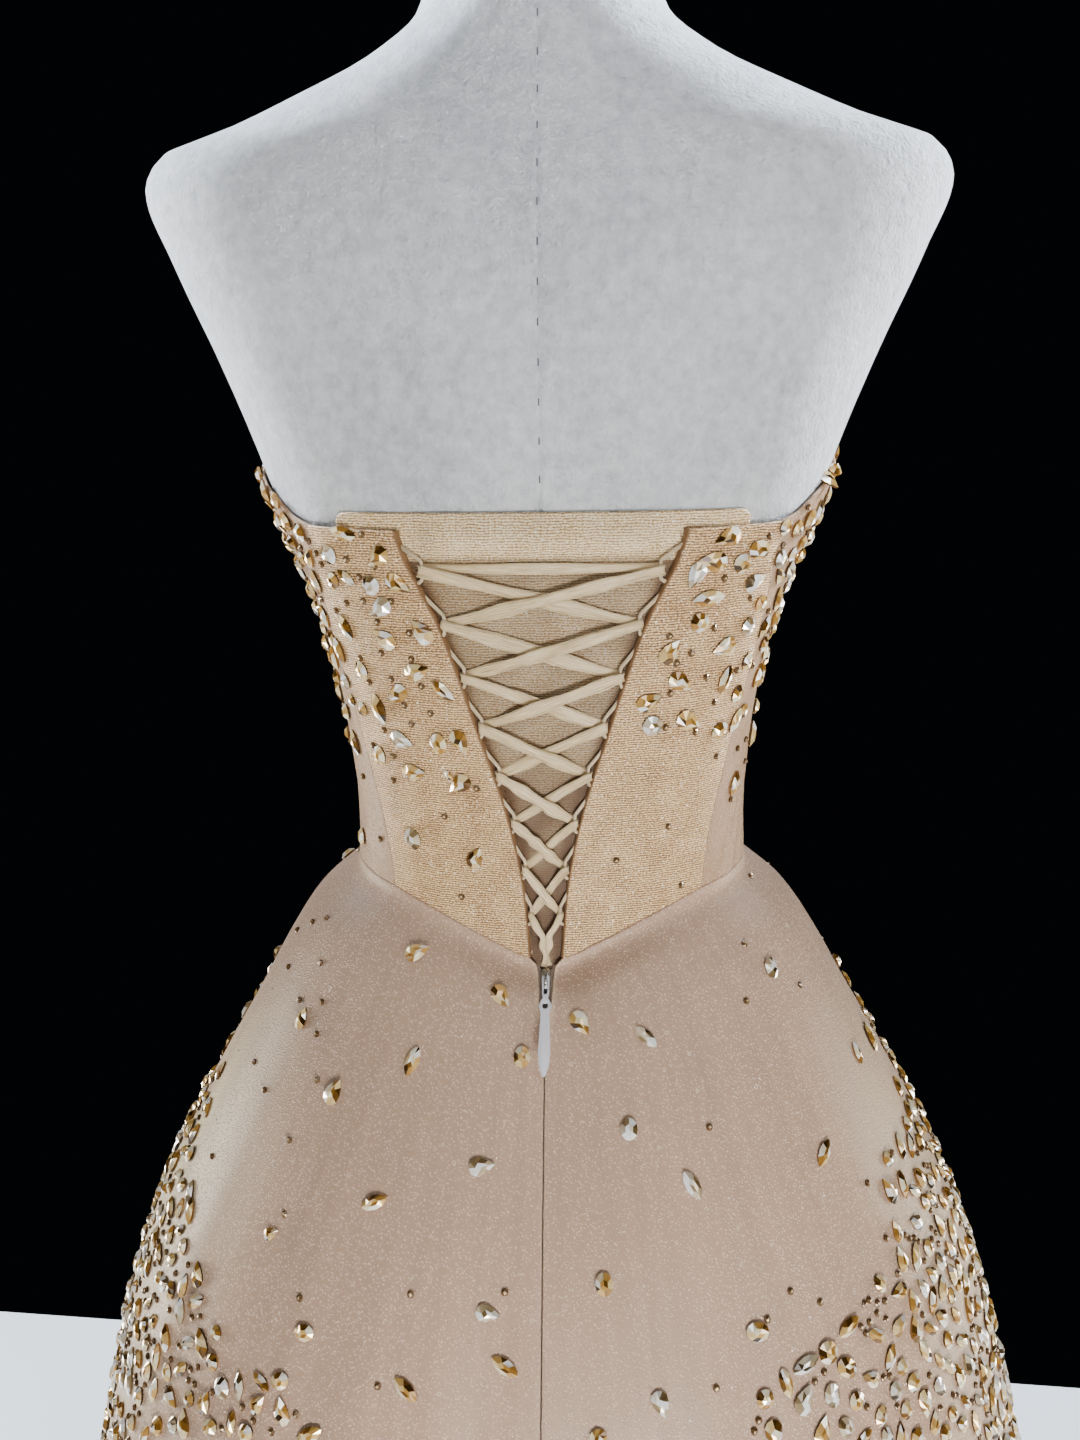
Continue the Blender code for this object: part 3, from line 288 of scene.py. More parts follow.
# ---------------------------------------------------------------- the figure under the cloth
@dataclass
class Figure:
    """The dress form's shape and the lines that are cut on it."""

    # Columns: height, half width, front, back, squareness front, squareness back.
    table: tuple = (
        (-0.300, 0.1620, 0.1000, 0.1060, 2.1, 2.2), (-0.200, 0.1660, 0.1040, 0.1150, 2.1, 2.2),
        (-0.110, 0.1480, 0.0980, 0.1030, 2.1, 2.2), (-0.045, 0.1210, 0.0890, 0.0840, 2.2, 2.3),
        (0.000, 0.1065, 0.0850, 0.0775, 2.2, 2.4), (0.035, 0.1035, 0.0880, 0.0790, 2.2, 2.5),
        (0.070, 0.1055, 0.0920, 0.0820, 2.2, 2.6), (0.100, 0.1090, 0.0950, 0.0860, 2.3, 2.6),
        (0.130, 0.1150, 0.0960, 0.0885, 2.3, 2.7), (0.160, 0.1240, 0.0960, 0.0900, 2.3, 2.7),
        (0.195, 0.1390, 0.0960, 0.0918, 2.3, 2.7), (0.225, 0.1485, 0.0945, 0.0930, 2.3, 2.7),
        (0.270, 0.1660, 0.0900, 0.0930, 2.3, 2.6), (0.320, 0.1880, 0.0780, 0.0870, 2.3, 2.5),
        (0.352, 0.1995, 0.0670, 0.0790, 2.3, 2.4), (0.366, 0.1925, 0.0610, 0.0740, 2.3, 2.4),
        (0.376, 0.1635, 0.0575, 0.0700, 2.2, 2.3), (0.390, 0.1290, 0.0545, 0.0650, 2.1, 2.2),
        (0.408, 0.0880, 0.0520, 0.0600, 2.0, 2.1), (0.428, 0.0615, 0.0500, 0.0560, 2.0, 2.0),
        (0.455, 0.0530, 0.0480, 0.0520, 2.0, 2.0), (0.500, 0.0510, 0.0470, 0.0500, 2.0, 2.0),
    )
    bust_x: float = 0.076
    bust_z: float = 0.140
    bust_rise: float = 0.034
    bust_spread: tuple[float, float] = (0.050, 0.062)
    # Columns: place round, height.
    top_table: tuple = ((0.00, 0.1915), (0.14, 0.1935), (0.16, 0.1970), (0.18, 0.2060), (0.22, 0.2180),
                        (0.32, 0.2360), (0.38, 0.2440), (0.44, 0.2320), (0.50, 0.2080))
    waist_table: tuple = ((0.000, -0.0290), (0.015, -0.0272), (0.040, -0.0205), (0.100, -0.0045),
                          (0.140, 0.0028), (0.200, 0.0055), (0.330, 0.0050), (0.500, 0.0040))
    # Columns: height, half width of the laced opening.
    opening_table: tuple = (
        (-0.028, 0.0090), (0.012, 0.0123), (0.043, 0.0178), (0.067, 0.0239), (0.094, 0.0320),
        (0.121, 0.0400), (0.146, 0.0484), (0.166, 0.0577), (0.178, 0.0635), (0.190, 0.0675))
    # Columns: height, place round of the seam between back panel and side panel.
    side_back_table: tuple = ((-0.030, 0.128), (0.100, 0.150), (0.200, 0.147))
    side_front: float = 0.330
    form_gap: float = 0.0008
    front_gap: float = 0.0012
    panel_lift: float = 0.0028
    blend_x: float = 0.102
    blend_wide: float = 0.020
    lowest: float = -0.302
    highest: float = 0.502
    heights: int = 269
    rings: RingStack = field(init=False)
    opening_share: Array = field(init=False)

    def __post_init__(self) -> None:
        """Work out the rings once, every 3 mm of height."""
        keys = np.linspace(self.lowest, self.highest, self.heights)
        made = []
        for z, row in zip(keys, smooth(self.table, keys)):
            x, y = half_ring(*row)
            lift = math.exp(-((z - self.bust_z) / self.bust_spread[1]) ** 2)
            bump = self.bust_rise * lift * np.exp(-((x - self.bust_x) / self.bust_spread[0]) ** 2)
            made.append((x, np.where(y < 0, y - bump * np.clip(-y / 0.05, 0.0, 1.0), y)))
        self.rings = RingStack.of(keys, made)
        self.opening_share = np.array([self.rings.back(float(lookup(self.opening_table, z)), z)[0]
                                       for z in keys])

    def at(self, u: Array, z: Array, out: Array) -> Array:
        """World points at places round and heights, moved out."""
        x, y = self.rings.at(u, z, out)
        return np.stack([x, y, np.broadcast_to(z, x.shape) + WAIST_Z], axis=-1)

    def back(self, x: float, z: float, out: float) -> Array:
        """World point over the back at an x and height."""
        _, y, ny = self.rings.back(x, z)
        return np.array([x, y + out / max(ny, 0.5), z + WAIST_Z])

    def top(self, u: Array) -> Array:
        """Height of the bodice's upper edge."""
        return lookup(self.top_table, np.abs(u))

    def waist(self, u: Array) -> Array:
        """Height of the waist seam."""
        return lookup(self.waist_table, np.abs(u))

    def opening(self, z: Array) -> Array:
        """Place round of the laced opening's edge."""
        return np.interp(z, self.rings.keys, self.opening_share)

    def side_back(self, z: Array) -> Array:
        """Place round of the side back seam."""
        return lookup(self.side_back_table, z)

    def bodice_gap(self, u: Array, z: Array) -> Array:
        """How far the bodice's inner face stands off the form.

        Args:
            u: Places round.
            z: Heights.

        Returns:
            The gaps: wider where the panel behind the laces lies between.
        """
        x = np.abs(self.rings.at(u, z, 0.0)[0])
        near = 1.0 - ease((x - self.blend_x) / self.blend_wide)
        return self.form_gap + (self.panel_lift - self.form_gap) * near * (np.abs(u) < 0.3)


FIGURE = Figure()


# ---------------------------------------------------------------- the camera
@dataclass
class PhotoCamera:
    """Camera at the photograph's viewing place, behind the dress and above its waist."""

    place: tuple[float, float, float] = (-0.023, 0.597, 1.298)
    pitch: float = 0.263
    yaw: float = 0.048
    roll: float = -0.013
    focal_px: float = 1088.0
    size_px: tuple[int, int] = (1080, 1440)
    sensor: float = 36.0
    clip: tuple[float, float] = (0.02, 60.0)

    def axes(self) -> tuple[Array, Array, Array]:
        """The camera's directions.

        Returns:
            Right, up and forward.
        """
        cos_p = math.cos(self.pitch)
        forward = np.array([math.sin(self.yaw) * cos_p, -math.cos(self.yaw) * cos_p, -math.sin(self.pitch)])
        right = unit(np.cross(forward, (0.0, 0.0, 1.0)))
        up = np.cross(right, forward)
        c, s = math.cos(self.roll), math.sin(self.roll)
        return c * right + s * up, c * up - s * right, forward

    def ray(self, px: float, py: float) -> Array:
        """Direction through a picture point.

        Args:
            px: Across, in the photograph's pixels.
            py: Down.

        Returns:
            The direction, of length one.
        """
        right, up, forward = self.axes()
        across = (px - self.size_px[0] / 2) / self.focal_px
        down = (py - self.size_px[1] / 2) / self.focal_px
        return unit(forward + across * right - down * up)

    def project(self, points: Array) -> Array:
        """Picture points of world points.

        Args:
            points: World points.

        Returns:
            Their places across and down, in the photograph's pixels.
        """
        right, up, forward = self.axes()
        q = np.asarray(points) - np.array(self.place)
        depth = q @ forward
        return np.stack([self.size_px[0] / 2 + self.focal_px * (q @ right) / depth,
                         self.size_px[1] / 2 - self.focal_px * (q @ up) / depth], axis=-1)

    def build(self) -> None:
        """Add the camera and make it the scene's own."""
        right, up, forward = self.axes()
        data = bpy.data.cameras.new("photo_camera")
        data.sensor_width = self.sensor
        data.lens = self.focal_px / self.size_px[1] * self.sensor
        data.clip_start, data.clip_end = self.clip
        camera = link_object("photo_camera", data)
        turn = Matrix((right, up, -forward)).transposed().to_4x4()
        camera.matrix_world = Matrix.Translation(self.place) @ turn
        bpy.context.scene.camera = camera


CAMERA = PhotoCamera()


# ---------------------------------------------------------------- nodes and materials
def fill(node: Node, inputs: dict | tuple) -> None:
    """Set or link a node's inputs.

    Args:
        node: The node.
        inputs: Values by socket name or index, or in the sockets' order.  A socket, or a node
            for its first output in use, is linked.
    """
    for key, value in inputs.items() if isinstance(inputs, dict) else enumerate(inputs):
        if isinstance(value, Node):
            value = next(socket for socket in value.outputs if socket.enabled)
        if isinstance(value, NodeSocket):
            node.id_data.links.new(value, node.inputs[key])
        else:
            node.inputs[key].default_value = value


def add_node(tree: NodeTree, kind: str, inputs: dict | tuple = (), stops: tuple = (),
             **settings: object) -> Node:
    """Add a node with its settings and links.

    Args:
        tree: The node tree.
        kind: The node's type; ShaderNode is put before a short one.  After a space comes the
            operation of a Math node or the data type of a Mix node.
        inputs: Its inputs, as fill takes them.
        stops: Places and sRGB codes of a colour ramp.
        settings: Values by attribute name.

    Returns:
        The node.
    """
    kind, _, choice = kind.partition(" ")
    node = tree.nodes.new(kind if "Node" in kind else "ShaderNode" + kind)
    if choice:
        settings["operation" if kind == "Math" else "data_type"] = choice
    for key, value in settings.items():
        setattr(node, key, value)
    if stops:
        elements = node.color_ramp.elements
        while len(elements) < len(stops):
            elements.new(0.5)
        for element, (place, code) in zip(elements, stops):
            element.position = place
            element.color = srgb(code)
    fill(node, inputs)
    return node


def specks(add: Callable, *kinds: tuple[float, float, float, float]) -> Node:
    """Mask of scattered specks of glitter in the cloth.

    Args:
        add: Adds a node to the material's tree.
        kinds: For each kind of speck the distance between possible specks and the radius, in
            metres, the share of them that is there, and the strength.

    Returns:
        The mask's last node, 1 on a strong speck.
    """
    place = add("TexCoord").outputs["Object"]
    mask = 0.0
    for cell, radius, share, strength in kinds:
        cells = add("TexVoronoi", {"Scale": 1.0 / cell, "Vector": place})
        near = add("Math LESS_THAN", (cells, radius / cell))
        tone = add("SeparateColor", (cells.outputs["Color"],))
        chosen = add("Math LESS_THAN", (tone, share))
        speck = add("Math MULTIPLY", (near, chosen))
        mask = add("Math MAXIMUM", (mask, add("Math MULTIPLY", (speck, strength))))
    return mask


@dataclass(frozen=True)
class Finish:
    """One real finish, made as one material; paint says what each kind gives the eye."""

    name: str

    def paint(self, add: Callable) -> dict:
        """Inputs of the Principled shader; add puts a node into the material's tree."""
        raise NotImplementedError

    def make(self) -> Material:
        """Build the material.

        Returns:
            The material.
        """
        material = bpy.data.materials.new(self.name)
        material.use_nodes = True
        tree = material.node_tree
        fill(tree.nodes["Principled BSDF"], self.paint(partial(add_node, tree)))
        return material


@dataclass(frozen=True)
class GlitterMesh(Finish):
    """Fine warp-knit mesh with glitter, laid over satin: rows of knit stitches with painted glints on them.
    """

    between: str
    thread: str
    # Painted highlight colour on the tops of the knit rows.
    glint: str
    # Colour of the painted shade mixed in on turned edges and in hollows.
    facing: str = "76532F"
    rib: float = 0.00125
    stitch: float = 0.0010
    speck_share: float = 0.22
    bump: float = 0.00030

    def paint(self, add: Callable) -> dict:
        """Rows and knots on the cloth's own UV map, in metres, with glitter between them.

        Args:
            add: Adds a node to the material's tree.

        Returns:
            The shader's inputs.
        """
        uv = add("UVMap", uv_map="cloth")
        # Knit rows are 0.8 mm apart in the real mesh; they are drawn a little coarser to show.
        wander = add("TexNoise", {"Scale": 130.0, "Detail": 1.0, "Vector": uv})
        up = add("SeparateXYZ", (uv,)).outputs[1]
        height = add("Math MULTIPLY_ADD", (wander, 0.0016, up))
        row = add("Math MULTIPLY", (height, math.tau / self.rib))
        row = add("Math SINE", (row,))
        knots = add("TexNoise", {"Scale": 1.0 / self.stitch, "Detail": 1.0, "Vector": uv})
        knots = add("Math MULTIPLY_ADD", (knots, 1.3, -0.15))
        cloud = add("TexNoise", {"Scale": 60.0, "Detail": 4.0, "Vector": uv})
        cloud = add("Math MULTIPLY_ADD", (cloud, 0.4, -0.20))
        knit = add("Math MULTIPLY_ADD", (row, 0.24, knots))
        knit = add("Math ADD", (knit, cloud))
        # Painted glints: the tops of the rows and knots take the brightest colour; the gaps between take the
        # darker one.
        colour = add("ValToRGB", (knit,), ((0.16, self.between), (0.48, self.thread), (0.86, self.glint)))
        glitter = specks(add, (0.0016, 0.00040, self.speck_share, 0.80), (0.0061, 0.00062, 0.40, 1.0))
        colour = add("Mix RGBA", {0: glitter, 6: colour, 7: srgb("FFF3DF")})
        # Painted shade: an attribute mixes in the facing colour on turned edges and in the cloth's creases
        # and hollows.
        turned = add("Attribute", attribute_name="turned_in").outputs["Fac"]
        return {"Base Color": add("Mix RGBA", {0: turned, 6: colour, 7: srgb(self.facing)}),
                "Roughness": add("Math MULTIPLY_ADD", (glitter, -0.33, 0.55)),
                "Normal": add("Bump", {"Strength": 0.8, "Distance": self.bump, "Height": knit}),
                "Sheen Weight": 0.10, "Sheen Tint": srgb("FFF0DA")}


@dataclass(frozen=True)
class TulleOverSatin(Finish):
    """Sheer glitter tulle over duchess satin: soft and milky, with the pale satin showing through and a
    painted sheen.
    """

    shade: str
    cloth: str
    # Pale colour mixed in by an attribute: satin showing through and painted sheen.
    satin: str
    net: str = "FFEEDA"
    gap: str = "7E6048"
    streak_scale: float = 95.0
    net_cell: float = 0.0014
    speck_share: float = 0.08

    def paint(self, add: Callable) -> dict:
        """Streaks on the cloth's UV map, the pale satin and painted sheen from its attribute, and the net's
        knots.

        Args:
            add: Adds a node to the material's tree.

        Returns:
            The shader's inputs.
        """
        place = add("TexCoord").outputs["Object"]
        cloud = add("TexNoise", {"Scale": 11.0, "Detail": 4.0, "Vector": place})
        cloud = add("Math MULTIPLY", (cloud, 0.5))
        uv = add("Mapping", {"Scale": (1.0, 0.05, 1.0), "Vector": add("UVMap", uv_map="cloth")})
        streak = add("TexNoise", {"Scale": self.streak_scale, "Detail": 3.0, "Vector": uv})
        streak = add("Math MULTIPLY_ADD", (streak, 0.75, cloud))
        streak = add("Math MULTIPLY_ADD", (add("Math SUBTRACT", (streak, 0.625)), 2.2, 0.5))
        colour = add("Mix RGBA", {0: streak, 6: srgb(self.shade), 7: srgb(self.cloth)})
        # Painted sheen: an attribute mixes in the pale satin colour, most on the flanks.
        glow = add("Attribute", attribute_name="satin_glow").outputs["Fac"]
        colour = add("Mix RGBA", {0: glow, 6: colour, 7: srgb(self.satin)})
        # The net's knots are 1 mm apart; they are drawn a little coarser, as a crepe-like grain.
        knots = add("TexVoronoi", {"Scale": 1.0 / self.net_cell, "Vector": place})
        away = add("Math MULTIPLY", (knots, 2.4))
        dots = add("Math SUBTRACT", (1.1, away), use_clamp=True)
        gaps = add("Math SUBTRACT", (1.0, dots))
        gaps = add("Math MULTIPLY", (gaps, add("Math MULTIPLY_ADD", (glow, -0.40, 0.60))))
        colour = add("Mix RGBA", {0: gaps, 6: colour, 7: srgb(self.gap)})
        share = add("SeparateColor", (knots.outputs["Color"],)).outputs[1]
        grain = add("Math MULTIPLY", (dots, add("Math MULTIPLY", (share, 0.50))))
        grain = add("Math MULTIPLY", (grain, add("Math MULTIPLY_ADD", (glow, -0.55, 1.0))))
        colour = add("Mix RGBA", {0: grain, 6: colour, 7: srgb(self.net)})
        glitter = specks(add, (0.0024, 0.00030, self.speck_share, 0.6), (0.0100, 0.00050, 0.30, 1.0))
        return {"Base Color": add("Mix RGBA", {0: glitter, 6: colour, 7: srgb("FFFDF8")}),
                "Roughness": add("Math MULTIPLY_ADD", (glitter, -0.28, 0.50)),
                "Normal": add("Bump", {"Strength": 0.8, "Distance": 0.00045, "Height": dots}),
                "Sheen Weight": 0.09, "Sheen Roughness": 0.35, "Sheen Tint": srgb("FFF0DC")}


@dataclass(frozen=True)
class Flock(Finish):
    """White flocked cover of a dress form: short nap, matt, faintly mottled."""

    name: str = "white_flock"
    pale: str = "E6E8EA"
    grey: str = "B2B6BB"

    def paint(self, add: Callable) -> dict:
        """Mottle and a soft cloud for the colour, nap and mottle for the relief.

        Args:
            add: Adds a node to the material's tree.

        Returns:
            The shader's inputs.
        """
        place = add("TexCoord").outputs["Object"]
        mottle = add("TexNoise", {"Scale": 150.0, "Detail": 6.0, "Roughness": 0.7, "Vector": place})
        cloud = add("TexNoise", {"Scale": 16.0, "Detail": 3.0, "Vector": place})
        cloud = add("Math MULTIPLY_ADD", (cloud, 0.9, -0.95))
        share = add("Math MULTIPLY_ADD", (mottle, 2.0, cloud))
        nap = add("TexNoise", {"Scale": 520.0, "Detail": 3.0, "Vector": place})
        nap = add("Bump", {"Strength": 0.9, "Distance": 0.0016, "Height": nap})
        return {"Base Color": add("Mix RGBA", {0: share, 6: srgb(self.grey), 7: srgb(self.pale)}),
                "Normal": add("Bump", {"Strength": 0.8, "Distance": 0.0030, "Height": mottle, "Normal": nap}),
                "Roughness": 0.93, "Sheen Weight": 0.85, "Sheen Roughness": 0.30,
                "Sheen Tint": srgb("EEF5FF")}


@dataclass(frozen=True)
class SatinRibbon(Finish):
    """Cream satin, cut as ribbon or sewn into thin cord: a soft gloss along the thread."""

    light: str
    dark: str
    # Whether it has stitch lines and painted shade on its cupped edges.
    hem_lines: bool

    def paint(self, add: Callable) -> dict:
        """Clouded satin; U is the share across the ribbon and V its length in metres.

        Args:
            add: Adds a node to the material's tree.

        Returns:
            The shader's inputs.
        """
        uv = add("UVMap", uv_map="cloth")
        fine = add("Mapping", {"Scale": (6.0, 60.0, 1.0), "Vector": uv})
        height = add("TexNoise", {"Scale": 3.0, "Detail": 4.0, "Vector": fine})
        long = add("Mapping", {"Scale": (0.4, 1.0, 1.0), "Vector": uv})
        cloud = add("TexNoise", {"Scale": 75.0, "Detail": 2.0, "Vector": long})
        share = add("Math MULTIPLY_ADD", (height, 0.8, -1.0))
        share = add("Math MULTIPLY_ADD", (cloud, 2.4, share), use_clamp=True)
        colour = add("Mix RGBA", {0: share, 6: srgb(self.dark), 7: srgb(self.light)})
        if self.hem_lines:
            colour, height = self.hem(add, uv, colour, height)
        return {"Base Color": colour,
                "Normal": add("Bump", {"Strength": 0.5, "Distance": 0.0002, "Height": height}),
                "Roughness": 0.42, "Sheen Weight": 0.3, "Specular IOR Level": 0.55}

    def hem(self, add: Callable, uv: Node, colour: Node,
            height: Node) -> tuple[Node, Node]:
        """Stitch lines inside the folded edges, and painted shade on the cupped edges.

        Args:
            add: Adds a node to the material's tree.
            uv: The ribbon's UV map.
            colour: The satin's colour.
            height: The satin's relief.

        Returns:
            The new colour and relief.
        """
        across, along, _ = add("SeparateXYZ", (uv,)).outputs
        off = add("Math SUBTRACT", (across, 0.5))
        middle = add("Math ABSOLUTE", (off,))
        # A line of stitches runs 0.8 mm inside each folded edge.
        line = add("Math ABSOLUTE", (add("Math SUBTRACT", (middle, 0.37)),))
        line = add("Math LESS_THAN", (line, 0.022))
        dash = add("Math SINE", (add("Math MULTIPLY", (along, math.tau / 0.0016)),))
        dash = add("Math GREATER_THAN", (dash, -0.55))
        seam = add("Math MULTIPLY", (line, dash))
        dark = add("Math MULTIPLY", (seam, 0.45))
        colour = add("Mix RGBA", {0: dark, 6: colour, 7: srgb("6E5A40")})
        # Painted shade: the cupped ribbon's edges are darkened, one more than the other, as if turned from
        # the light.
        turned = add("Math POWER", (add("Math MULTIPLY", (middle, 2.0)), 2.5))
        lean = add("Math MULTIPLY_ADD", (off, 0.35, 0.20))
        turned = add("Math MULTIPLY", (turned, lean))
        colour = add("Mix RGBA", {0: turned, 6: colour, 7: srgb("7C6444")})
        return colour, add("Math SUBTRACT", (height, seam))


@dataclass(frozen=True)
class FoiledCrystal(Finish):
    """Champagne cut glass: every facet shows a painted reflection, a lighter or darker gold tone of its own.
    """

    name: str = "champagne_crystal"

    def paint(self, add: Callable) -> dict:
        """Painted reflections: gold tones picked by each facet's painted tone and the stone's tint, the
        girdle painted dark; about one in five is clear.

        Args:
            add: Adds a node to the material's tree.

        Returns:
            The shader's inputs.
        """
        tone = add("Attribute", attribute_name="facet_tone").outputs["Fac"]
        tint = add("Attribute", attribute_name="tint").outputs["Fac"]
        turned = add("Math FRACT", (add("Math MULTIPLY_ADD", (tint, 5.3, tone)),))
        # The girdle's facets are painted dark, as a shaded rim.
        rim = add("Math LESS_THAN", (tone, 0.03))
        rim = add("Math MULTIPLY_ADD", (rim, -0.75, 1.0))
        turned = add("Math MULTIPLY", (turned, rim))
        gold = add("ValToRGB", (turned,), (
            (0.00, "2C1C08"), (0.12, "6A4818"), (0.28, "AE7F36"), (0.46, "D8AE64"), (0.64, "F0D496"),
            (0.82, "FFF4D2"), (1.00, "FFFFFF")))
        clear = add("ValToRGB", (turned,), (
            (0.00, "3A2C16"), (0.14, "7E6842"), (0.32, "BDA884"), (0.54, "E2D6BC"), (0.76, "FFFFFF"),
            (1.00, "FFFFFF")))
        paler = add("Math GREATER_THAN", (tint, 0.82))
        return {"Base Color": add("Mix RGBA", {0: paler, 6: gold, 7: clear}), "Metallic": 0.30,
                "Roughness": 0.10, "Coat Weight": 0.6, "Coat Roughness": 0.03, "Coat IOR": 1.7}


@dataclass(frozen=True)
class SmokedBead(Finish):
    """Small bronze-brown glass bead, painted dark round its rim with a painted highlight dot in the middle.
    """

    name: str = "bronze_bead"

    def paint(self, add: Callable) -> dict:
        """Painted light and shade of the bead's facets."""
        tone = add("Attribute", attribute_name="facet_tone").outputs["Fac"]
        colour = add("ValToRGB", (tone,), (
            (0.0, "3A2716"), (0.3, "6E5233"), (0.5, "9A7C52"), (1.0, "EAD8B0")))
        return {"Base Color": colour, "Metallic": 0.25, "Roughness": 0.18}


@dataclass(frozen=True)
class Metal(Finish):
    """Bare or plated metal with fine brushing: bright, with soft streaked highlights."""

    colour: str
    roughness: float
    brush: float

    def paint(self, add: Callable) -> dict:
        """Brushing drawn out along one axis, in the gloss and the relief.

        Args:
            add: Adds a node to the material's tree.

        Returns:
            The shader's inputs.
        """
        place = add("Mapping", {"Scale": (1.0, 1.0, 12.0), "Vector": add("TexCoord").outputs["Object"]})
        noise = add("TexNoise", {"Scale": self.brush, "Detail": 3.0, "Vector": place})
        return {"Base Color": srgb(self.colour), "Metallic": 1.0,
                "Roughness": add("Math MULTIPLY_ADD", (noise, 0.14, self.roughness - 0.06)),
                "Normal": add("Bump", {"Strength": 0.12, "Distance": 0.0002, "Height": noise})}


@dataclass(frozen=True)
class Enamel(Finish):
    """Stoved enamel over cast metal: even and glossy, a little worn to grey at the edges."""

    name: str = "pale_enamel"
    colour: str = "CDCCD2"
    worn: str = "A6A3A6"

    def paint(self, add: Callable) -> dict:
        """Even colour, worn where the surface turns sharply.

        Args:
            add: Adds a node to the material's tree.

        Returns:
            The shader's inputs.
        """
        noise = add("TexNoise", {"Scale": 700.0, "Detail": 2.0, "Vector": add("TexCoord").outputs["Object"]})
        edge = add("Math GREATER_THAN", (add("NewGeometry").outputs["Pointiness"], 0.56))
        share = add("Math MULTIPLY", (edge, noise))
        return {"Base Color": add("Mix RGBA", {0: share, 6: srgb(self.colour), 7: srgb(self.worn)}),
                "Roughness": 0.32, "Coat Weight": 0.4}


@dataclass(frozen=True)
class Woven(Finish):
    """Woven polyester tape: a fine herringbone, matt."""

    name: str = "zip_tape_weave"
    colour: str = "B9A593"
    shade: str = "94806D"
    thread: float = 0.0009

    def paint(self, add: Callable) -> dict:
        """Slanted threads on the tape's UV map, in metres.

        Args:
            add: Adds a node to the material's tree.

        Returns:
            The shader's inputs.
        """
        across, along, _ = add("SeparateXYZ", (add("UVMap", uv_map="cloth"),)).outputs
        slant = add("Math ADD", (add("Math PINGPONG", (across, 0.002)), along))
        weave = add("Math MULTIPLY", (slant, math.tau / self.thread))
        share = add("Math MULTIPLY_ADD", (add("Math SINE", (weave,)), 0.5, 0.5))
        return {"Base Color": add("Mix RGBA", {0: share, 6: srgb(self.shade), 7: srgb(self.colour)}),
                "Normal": add("Bump", {"Strength": 0.6, "Distance": 0.0002, "Height": share}),
                "Roughness": 0.75}


@dataclass(frozen=True)
class Plain(Finish):
    """One quiet finish with a slight cloud in it, for thread and for the studio floor."""

    colour: str
    second: str
    roughness: float
    scale: float

    def paint(self, add: Callable) -> dict:
        """Two near tones, clouded."""
        place = add("TexCoord").outputs["Object"]
        noise = add("TexNoise", {"Scale": self.scale, "Detail": 3.0, "Vector": place})
        colour = add("Mix RGBA", {0: noise, 6: srgb(self.colour), 7: srgb(self.second)})
        return {"Base Color": colour, "Roughness": self.roughness}


# ---------------------------------------------------------------- meshes
def link_object(name: str, data: ID) -> Object:
    """New object in the scene that shows a mesh, a curve, a light or a camera."""
    obj = bpy.data.objects.new(name, data)
    bpy.context.scene.collection.objects.link(obj)
    return obj


def link_mesh(name: str, vertices: Array, faces: list, uv: Array | None = None,
              smooth_faces: bool = True) -> Object:
    """Mesh object from points and faces, with its faces turned outwards.

    Args:
        name: The object's name.
        vertices: Points, one row each.
        faces: Tuples of point numbers.
        uv: The cloth's own coordinates at each point, in metres.
        smooth_faces: Whether it is shaded smooth.

    Returns:
        The object.
    """
    mesh = bpy.data.meshes.new(name)
    mesh.from_pydata(np.asarray(vertices, float).tolist(), [], faces)
    if uv is not None:
        layer = mesh.uv_layers.new(name="cloth")
        corners = np.zeros(len(mesh.loops), dtype=np.int32)
        mesh.loops.foreach_get("vertex_index", corners)
        layer.data.foreach_set("uv", np.asarray(uv, np.float32)[corners].ravel())
    shape = bmesh.new()
    shape.from_mesh(mesh)
    bmesh.ops.recalc_face_normals(shape, faces=shape.faces)
    shape.to_mesh(mesh)
    shape.free()
    mesh.polygons.foreach_set("use_smooth", [smooth_faces] * len(mesh.polygons))
    mesh.update()
    return link_object(name, mesh)


def set_attribute(obj: Object, name: str, values: Array, domain: str = "POINT") -> None:
    """Store a number for each point or face of an object's mesh."""
    layer = obj.data.attributes.new(name, "FLOAT", domain)
    layer.data.foreach_set("value", np.asarray(values, np.float32))


def grid_faces(rows: int, columns: int, start: int = 0, closed: bool = False) -> list:
    """Quads of a grid of points, row after row.

    Args:
        rows: Rows of points.
        columns: Points in a row.
        start: The first point's number.
        closed: Whether each row is a closed ring.

    Returns:
        The quads.
    """
    r, c = np.meshgrid(np.arange(rows - 1), np.arange(columns if closed else columns - 1), indexing="ij")
    d = (c + 1) % columns
    quads = np.stack([r * columns + c, r * columns + d, (r + 1) * columns + d, (r + 1) * columns + c], -1)
    return [tuple(q) for q in (quads.reshape(-1, 4) + start).tolist()]


def grid(rows: Array, columns: Array) -> list[Array]:
    """Each row's and each column's value over a grid."""
    return np.meshgrid(rows, columns, indexing="ij")


def cloth_wall(name: str, outer: Array, inner: Array, uv: Array) -> Object:
    """Closed thin wall of cloth between an outer and an inner grid of points.

    Args:
        name: The object's name.
        outer: Outer points by row and column.
        inner: Inner points by row and column.
        uv: The cloth's coordinates by row and column, in metres.

    Returns:
        The object.
    """
    rows, columns = outer.shape[:2]
    count = rows * columns
    faces = grid_faces(rows, columns)
    faces += [tuple(reversed(f)) for f in grid_faces(rows, columns, count)]
    rim = list(range(columns))
    rim += [r * columns + columns - 1 for r in range(1, rows)]
    rim += [(rows - 1) * columns + c for c in range(columns - 2, -1, -1)]
    rim += [r * columns for r in range(rows - 2, 0, -1)]
    for a, b in zip(rim, rim[1:] + rim[:1]):
        faces.append((a, a + count, b + count, b))
    vertices = np.concatenate([outer.reshape(-1, 3), inner.reshape(-1, 3)])
    both = np.concatenate([uv.reshape(-1, 2), uv.reshape(-1, 2)])
    return link_mesh(name, vertices, faces, both)


